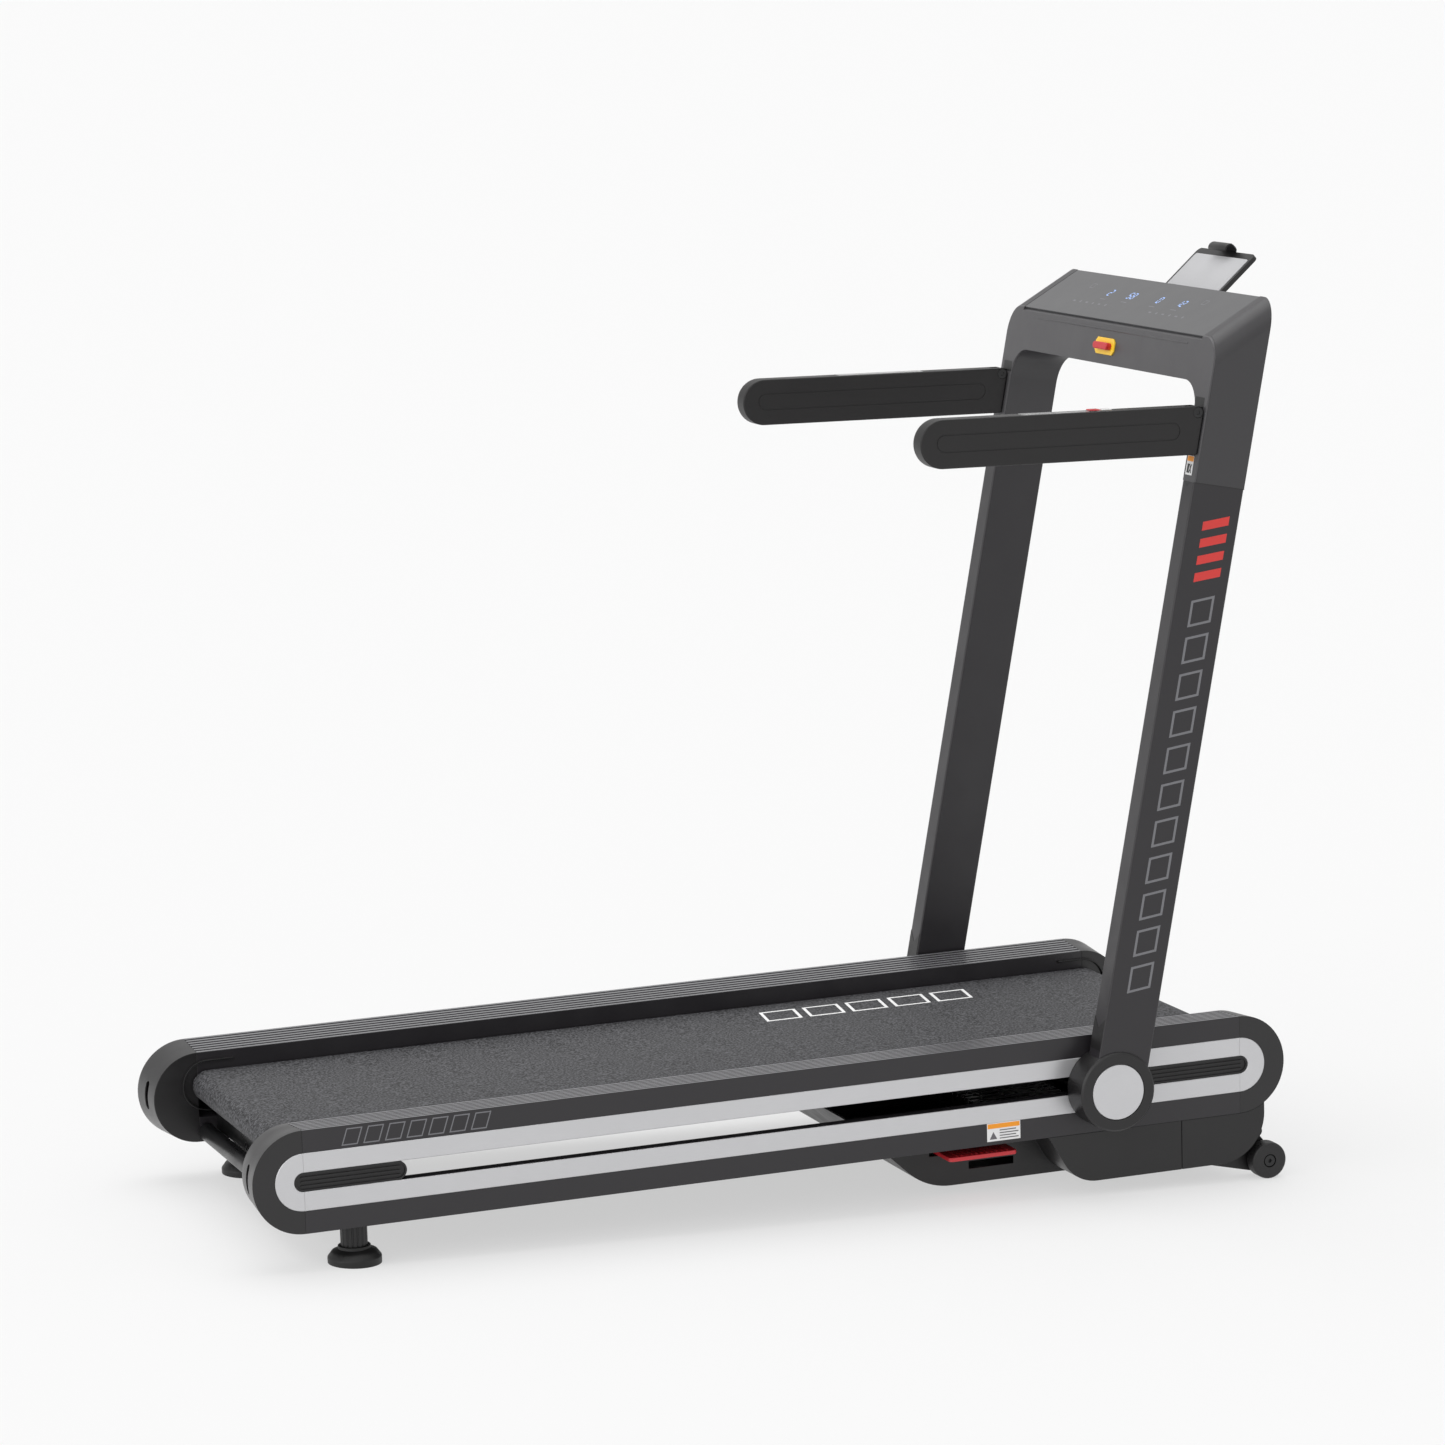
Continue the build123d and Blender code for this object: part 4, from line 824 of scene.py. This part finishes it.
def marks(name, plane, outlines, paint, body, proud=0.12, sunk=0.4):
    """Closed slabs, one per outline, on a plane that belongs to a body."""
    work = bmesh.new()
    for outline in outlines:
        low = [work.verts.new(plane @ Vector((x, y, -sunk))) for x, y in outline]
        high = [work.verts.new(plane @ Vector((x, y, proud))) for x, y in outline]
        work.faces.new(low[::-1])
        work.faces.new(high)
        for k in range(len(outline)):
            after = (k + 1) % len(outline)
            work.faces.new((low[k], low[after], high[after], high[k]))
    bmesh.ops.recalc_face_normals(work, faces=work.faces)
    mesh = bpy.data.meshes.new(name)
    work.to_mesh(mesh)
    work.free()
    return keep(name, mesh, body, paint)


def behind(frame_matrix, along):
    """A drawing plane that looks backwards: x runs to the right side, y up, z backwards."""
    turn = Matrix(((0, 0, -1), (-1, 0, 0), (0, 1, 0))).to_4x4()
    return frame_matrix @ Matrix.Translation((along, 0, 0)) @ turn


# %% Marks on the belt
belt_plane = DECK @ Matrix.Translation((0, 0, belt_top))
blocks = slanted_row(862, 1214, 124, 184, count=5, gap=12, slant=10, stroke=5)
marks("belt_marks", belt_plane, blocks, white_print, "deck")

# %% Marks on the rails and the uprights
rail_outer = 306
mast_outer = 352.5
for side_name, outward in SIDES.items():
    ahead = -outward
    rail_plane = side_of(DECK, 0, outward * rail_outer, 0, outward)
    upper = slanted_row(56, 275, 45, 69, count=7, gap=8, slant=8, stroke=1.7)
    upper = [[(ahead * x, y) for x, y in outline] for outline in upper]
    marks(f"rail_mark_{side_name}", rail_plane, upper, grey_print, "deck")
    mast_plane = side_of(MAST, 0, outward * mast_outer, 0, outward)
    tall = slanted_row(145, 735, -11, 25, count=11, gap=15, slant=12, stroke=3.6)
    tall = [[(ahead * y, x) for x, y in outline] for outline in tall]
    marks(f"upright_mark_{side_name}", mast_plane, tall, grey_print, "mast")
    accent = [slanted_bar(750 + 25 * k, -13, 13, 41, 13) for k in range(4)]
    accent = [[(ahead * y, x) for x, y in outline] for outline in accent]
    marks(f"upright_accent_{side_name}", mast_plane, accent, red_print, "mast")

# %% [markdown]
# ## Stickers
#
# Two small white stickers with an orange band sit on the near rail and on the back of the near
# arm. Each is a stack of thin slabs, every one a little prouder than the one below. Plain bars and
# a triangle stand for what is printed on them.

# %% Stickers
sticker_proud = 0.15
ink_proud = 0.22


def sticker(name, plane, body, edges, band, figures, ink):
    """A white slab, its orange band and its plain figures."""
    marks(name, plane, [box(*edges)], white_key, body, proud=sticker_proud)
    marks(f"{name}_band", plane, [box(*band)], orange_print, body, proud=ink_proud)
    marks(f"{name}_print", plane, figures, ink, body, proud=ink_proud)


left, low, right, top = 1030, -68, 1083, -41
row_pitch = 4
rows = [box(left + 20, low + 3 + row_pitch * k, right - 3 - 4 * (k % 2), low + 4.6 + row_pitch * k)
        for k in range(4)]
picture = [(left + 4, low + 3), (left + 16, low + 3), (left + 10, low + 14)]
sticker("rail_sticker", side_of(DECK, 0, -rail_outer, 0), "deck", (left, low, right, top),
        (left + 1, top - 8, right - 1, top - 1), rows + [picture], dim_print)

arm_rear = 38
arm_back = behind(MAST, -arm_rear)
figure = [box(324, 904, 330, 917), bar((331, 904), (337, 917), 2.4),
          bar((331, 917), (337, 904), 2.4)]
sticker("arm_sticker", arm_back, "mast", (321, 901, 341, 929), (321.5, 921, 340.5, 928.5), figure,
        black_print)

# %% [markdown]
# ## Seam lines, painted shade, a dark sheet and notches
#
# A thin dark line shows where each console arm meets its upright. A dark patch of painted shade
# lies on each upright's foot behind, a dark sheet fills the gap below the belt's rear end, and
# each arm's back has a small notch and a slit, drawn flat in black as painted shade for their
# hollows. They are flat, dark shapes, so they are cut from planes like the prints.

# %% Seam lines, painted shade, a dark sheet and notches
arm_front = 44
seam_low, seam_high = 891.4, 892.4
# Each upright's foot lies in shade behind; a dark patch of painted shade stands for it.
shade_patch_outline = [(318, 57), (351, 57), (351, 104), (334, 88), (318, 104)]
for side_name, outward in SIDES.items():
    start, stop = (-arm_rear, arm_front) if outward < 0 else (-arm_front, arm_rear)
    marks(f"seam_line_{side_name}", side_of(MAST, 0, outward * mast_outer, 0, outward),
          [box(start, seam_low, stop, seam_high)], black_print, "mast")
    shade_patch = [(-outward * x, y) for x, y in shade_patch_outline]
    marks(f"upright_sleeve_{side_name}", arm_back, [shade_patch], rib_plastic, "mast",
          proud=0.4)
# A dark sheet fills the gap below the belt's rear end.
marks("rear_guard", behind(DECK, 26), [box(-233, -50, 233, -9)], black_steel, "deck",
      proud=0.2, sunk=2)
# The notch and the slit are drawn flat in black: painted shade for their hollows.
slit_half = 14
for side_name, outward in SIDES.items():
    point = [(-outward * 325, 890), (-outward * 338, 890), (-outward * 331.5, 884)]
    slit = box(-outward * 329 - slit_half, 998, -outward * 329 + slit_half, 1014)
    marks(f"arm_notch_{side_name}", arm_back, [point, slit], black_print, "mast")

# %% [markdown]
# ## The console's display
#
# The panel lights blue seven-bar digits from below, and shows a faint row of signs beside them.
# Each digit is drawn from its bars on the sloping top, where the glass lies 0.4 mm deep. The
# numbers only show that the panel is on.

# %% Draw the digits
panel_run, panel_rise = 82, 70
panel_foot = (-38, 0, 1100)
glass_depth = 0.4
slope = Vector((panel_run, 0, panel_rise)).normalized()
sideways = Vector((0, -1, 0))
lean = Matrix((sideways, slope, sideways.cross(slope))).transposed().to_4x4()
display = MAST @ Matrix.Translation(panel_foot) @ lean @ Matrix.Translation((0, 0, -glass_depth))
lit_bars = {"0": "abcdef", "1": "bc", "2": "abged", "5": "afgcd", "8": "abcdefg"}


def digit(sign, x, y, wide=8.0, tall=14.0, stroke=1.7, slant=0.12):
    """Bars of one seven-bar digit whose lower left corner is at x, y."""
    ends = {"a": ((0, tall), (wide, tall)), "b": ((wide, tall), (wide, tall / 2)),
            "c": ((wide, tall / 2), (wide, 0)), "d": ((0, 0), (wide, 0)),
            "e": ((0, 0), (0, tall / 2)), "f": ((0, tall / 2), (0, tall)),
            "g": ((0, tall / 2), (wide, tall / 2))}
    drawn = []
    for name in lit_bars[sign]:
        start, end = (Vector((x + px + slant * py, y + py)) for px, py in ends[name])
        trim = (end - start).normalized() * stroke * 0.55
        drawn.append(bar(start + trim, end - trim, stroke))
    return drawn


readings = {"2": -110, "58": -38, "0": 56, "12": 128}
pitch = 12
numbers = []
for text, middle in readings.items():
    for place, sign in enumerate(text):
        numbers += digit(sign, middle - pitch / 2 * len(text) + pitch * place, 58)
marks("display_digits", display, numbers, blue_light, "mast", proud=0.05)

# %% Draw the faint signs beside the digits
signs = []
for x in (-190.7, 185.5):
    signs += [bar((x - 6, 70), (x + 6, 70), 1.2), bar((x - 6, 80), (x + 6, 80), 1.2),
              bar((x - 6, 70), (x - 6, 80), 1.2), bar((x + 6, 70), (x + 6, 80), 1.2)]
for first in (-185, 74):
    for k in range(6):
        middle = first + 21.5 * k
        signs.append(disc(middle, 34.5, 2.6) if k % 2 else box(middle - 4, 33, middle + 4, 36))
for middle in readings.values():
    signs.append(box(middle - 9, 47, middle + 9, 48.6))
marks("display_signs", display, signs, faint_print, "mast", proud=0.05)
print("digits on the panel", " ".join(readings), "and", len(signs), "faint signs")

# %% [markdown]
# ## Lips round the roller's ends
#
# Each end cap has a raised lip on its inner face that wraps the roller's end and guards the gap
# beside the belt. It is a half circle with two straight legs, drawn once and swept.


# %% Sweep a strip along a flat path
def half_thickness(path, thick):
    """Each point of a flat path, with the step that leads from it to the strip's outer face."""
    for k, point in enumerate(path):
        before, after = path[max(k - 1, 0)], path[min(k + 1, len(path) - 1)]
        along = (Vector(after) - Vector(before)).normalized()
        yield point, Vector((-along.y, along.x)) * thick / 2


def section(place, point, out, start, stop, taper=1):
    """Four corners round a point of the path; taper thins the far edge."""
    x, z = point
    corners = ((x + out.x, start, z + out.y), (x + out.x * taper, stop, z + out.y * taper),
               (x - out.x * taper, stop, z - out.y * taper), (x - out.x, start, z - out.y))
    return [place @ Vector(corner) for corner in corners]


def skinned(name, sections, corner_angle, radius):
    """A closed mesh over a row of sections, with its sharper edges rounded in millimetres."""
    work = bmesh.new()
    loops = [[work.verts.new(corner) for corner in corners] for corners in sections]
    for first, second in zip(loops, loops[1:]):
        for k in range(4):
            after = (k + 1) % 4
            work.faces.new((first[k], first[after], second[after], second[k]))
    work.faces.new(loops[0])
    work.faces.new(loops[-1][::-1])
    bmesh.ops.recalc_face_normals(work, faces=work.faces)
    edges = [edge for edge in work.edges if edge.calc_face_angle(0) > corner_angle]
    bmesh.ops.bevel(work, geom=edges, offset=radius * MM, segments=2, profile=0.5,
                    affect="EDGES", clamp_overlap=True)
    mesh = bpy.data.meshes.new(name)
    work.to_mesh(mesh)
    work.free()
    shade_softly(mesh)
    return mesh


# %% Sweep the lips
lip_radius = 37
lip_thick = 3.4
lip_root, lip_tip = 234.5, 229.5
upper_leg, lower_leg = 42, 30
arc_steps = 28
half_turn = [math.radians(90 + 180 * k / arc_steps) for k in range(arc_steps + 1)]
for end_name, centre, way in (("rear", rear_roller_at, 1), ("front", front_roller_at, -1)):
    path = [(centre + way * upper_leg, roller_height + lip_radius)]
    path += [(centre + way * lip_radius * math.cos(a), roller_height + lip_radius * math.sin(a))
             for a in half_turn]
    path.append((centre + way * lower_leg, roller_height - lip_radius))
    for side_name, outward in SIDES.items():
        name = f"{end_name}_lip_{side_name}"
        sections = [section(DECK, point, out, outward * lip_root, outward * lip_tip, taper=0.6)
                    for point, out in half_thickness(path, lip_thick)]
        keep(name, skinned(name, sections, 0.5, 0.6), "deck", rib_plastic)

# %% [markdown]
# ## The phone clamp
#
# The clamp is a thin sprung strip: it slides in the rest's channel, turns up past the phone's upper
# edge, and curls forward and down over it. Its side outline is swept straight across, the way
# such a strip is bent from flat sheet.

# %% Bend the clamp
clamp_low, clamp_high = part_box("phone_clamp")
rest_pin = Vector(joints["phone_rest_tilt"]["pos_m"])
rest_up = Vector(joints["phone_clamp_slide"]["axis"]).normalized()
REST = axes_at(rest_pin, rest_up, LEFT)
strip = [(84, -0.4), (100, -0.4), (120, -0.4), (138, -0.2), (142, 1), (144, 4), (144.6, 8),
         (144.4, 14), (143.4, 17.6), (140.6, 19.6), (137, 20.3), (133.6, 19.8), (131, 18.2),
         (129.8, 15.6)]
strip_thick = 2.4
half_strip, half_hook = 19.5, 28
halves = [half_strip] * 3 + [half_strip + 1, 23, 26] + [half_hook] * 8
sections = [section(REST, point, out, -half, half)
            for (point, out), half in zip(half_thickness(strip, strip_thick), halves)]
clamp_mesh = skinned("phone_clamp_dressed", sections, sharp_angle, 0.5)
clamp = keep("phone_clamp_dressed", clamp_mesh, "phone_clamp", casing_plastic)
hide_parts("phone_clamp")
grip = rounded_block(1.4, 50, 1.2, 0.4)
hook_back = REST @ Matrix.Translation((145.6, 0, 6)) @ Matrix.Rotation(math.radians(90), 4, "Y")
hook_ribs = grown(row, hook_back, shape=grip, count=4, step=(-2.8, 0.0, 0.0), paint=casing_plastic)
keep("phone_clamp_ribs", hook_ribs, "phone_clamp", casing_plastic)
print("clamp box", clamp_low, clamp_high)

# %% [markdown]
# ## Grip ribs and treads
#
# The foot lever has ribs across it for grip, and each wheel has a tread of small blocks. Both are
# one block many times over, in a row and in a ring. The levelling feet keep their CAD shape.

# %% Lever ribs
lever_hinge = DECK.inverted() @ Vector(joints["release_pedal_press"]["pos_m"])
rib = rounded_block(2.6, 34, 1.6, 0.5)
first_rib = DECK @ Matrix.Translation((lever_hinge.x - 40, -270, lever_hinge.z + 3.4))
rib_mesh = grown(row, first_rib, shape=rib, count=11, step=(8.0, 0.0, 0.0), paint=red_plastic)
keep("lever_ribs", rib_mesh, "release_pedal", red_plastic)

# %% Wheel treads
for side_name in SIDES:
    wheel_at = DECK.inverted() @ Vector(joints[f"wheel_{side_name}_spin"]["pos_m"])
    wheel_low, wheel_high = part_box(f"transport_wheel_{side_name}")
    wide = (wheel_high.y - wheel_low.y) / MM
    middle_y = (wheel_high.y + wheel_low.y) / 2 / MM
    tread = rounded_block(1.0, 2.0, wide - 10, 0.3)
    wheel_place = side_of(DECK, wheel_at.x, middle_y, wheel_at.z)
    tread_mesh = grown(ring, wheel_place, shape=tread, count=36, radius=27.1, paint=wheel_rubber)
    keep(f"wheel_tread_{side_name}", tread_mesh, f"wheel_{side_name}", wheel_rubber)
print("wheel centre on the deck", tuple(round(value, 1) for value in wheel_at))

# %% [markdown]
# ## Ridges on the rails
#
# The ribs on the rails' tops catch the light on their crests, which look lighter than the paint
# beside them. A long, low strip of lighter paint lies on every rib as a painted highlight, and
# follows the top's fall to the outside.

# %% Painted highlights on the rails' ribbed tops
rail_wide, rail_fall = 72, 5.9
rail_inner, inner_height = 234, 67.6
ridge_gap = 10.95
ridge = rounded_block(1440, 5.2, 0.7, 0.15)
for side_name, outward in SIDES.items():
    fall_angle = outward * math.atan2(rail_fall, rail_wide)
    first = (DECK @ Matrix.Translation((720.5, outward * rail_inner, inner_height))
             @ Matrix.Rotation(fall_angle, 4, "X") @ Matrix.Translation((0, outward * 3.6, -0.2)))
    crest_highlights = grown(row, first, shape=ridge, count=7, step=(0.0, outward * ridge_gap, 0.0),
                   paint=ridge_shine)
    keep(f"rail_ridges_{side_name}", crest_highlights, "deck", ridge_shine)

# %% [markdown]
# ## Screws under the belly
#
# Nothing shows how the belly casing is held, so this is a guess: two rows of four round-headed
# screws from below. Turning a row's place over points its heads down.

# %% Screws under the belly
screw = screw_head(4.2, 1.8)
pan_floor = -147.5
for number, along in enumerate((1120, 1330), start=1):
    under = DECK @ Matrix.Translation((along, -180, pan_floor)) @ Matrix.Rotation(math.pi, 4, "X")
    heads = grown(row, under, shape=screw, count=4, step=(0.0, -120.0, 0.0), paint=black_steel)
    keep(f"belly_screws_{number}", heads, "deck", black_steel)
pan_low, pan_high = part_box("belly_pan")
print("belly pan box", [round(value, 3) for value in (*pan_low, *pan_high)])
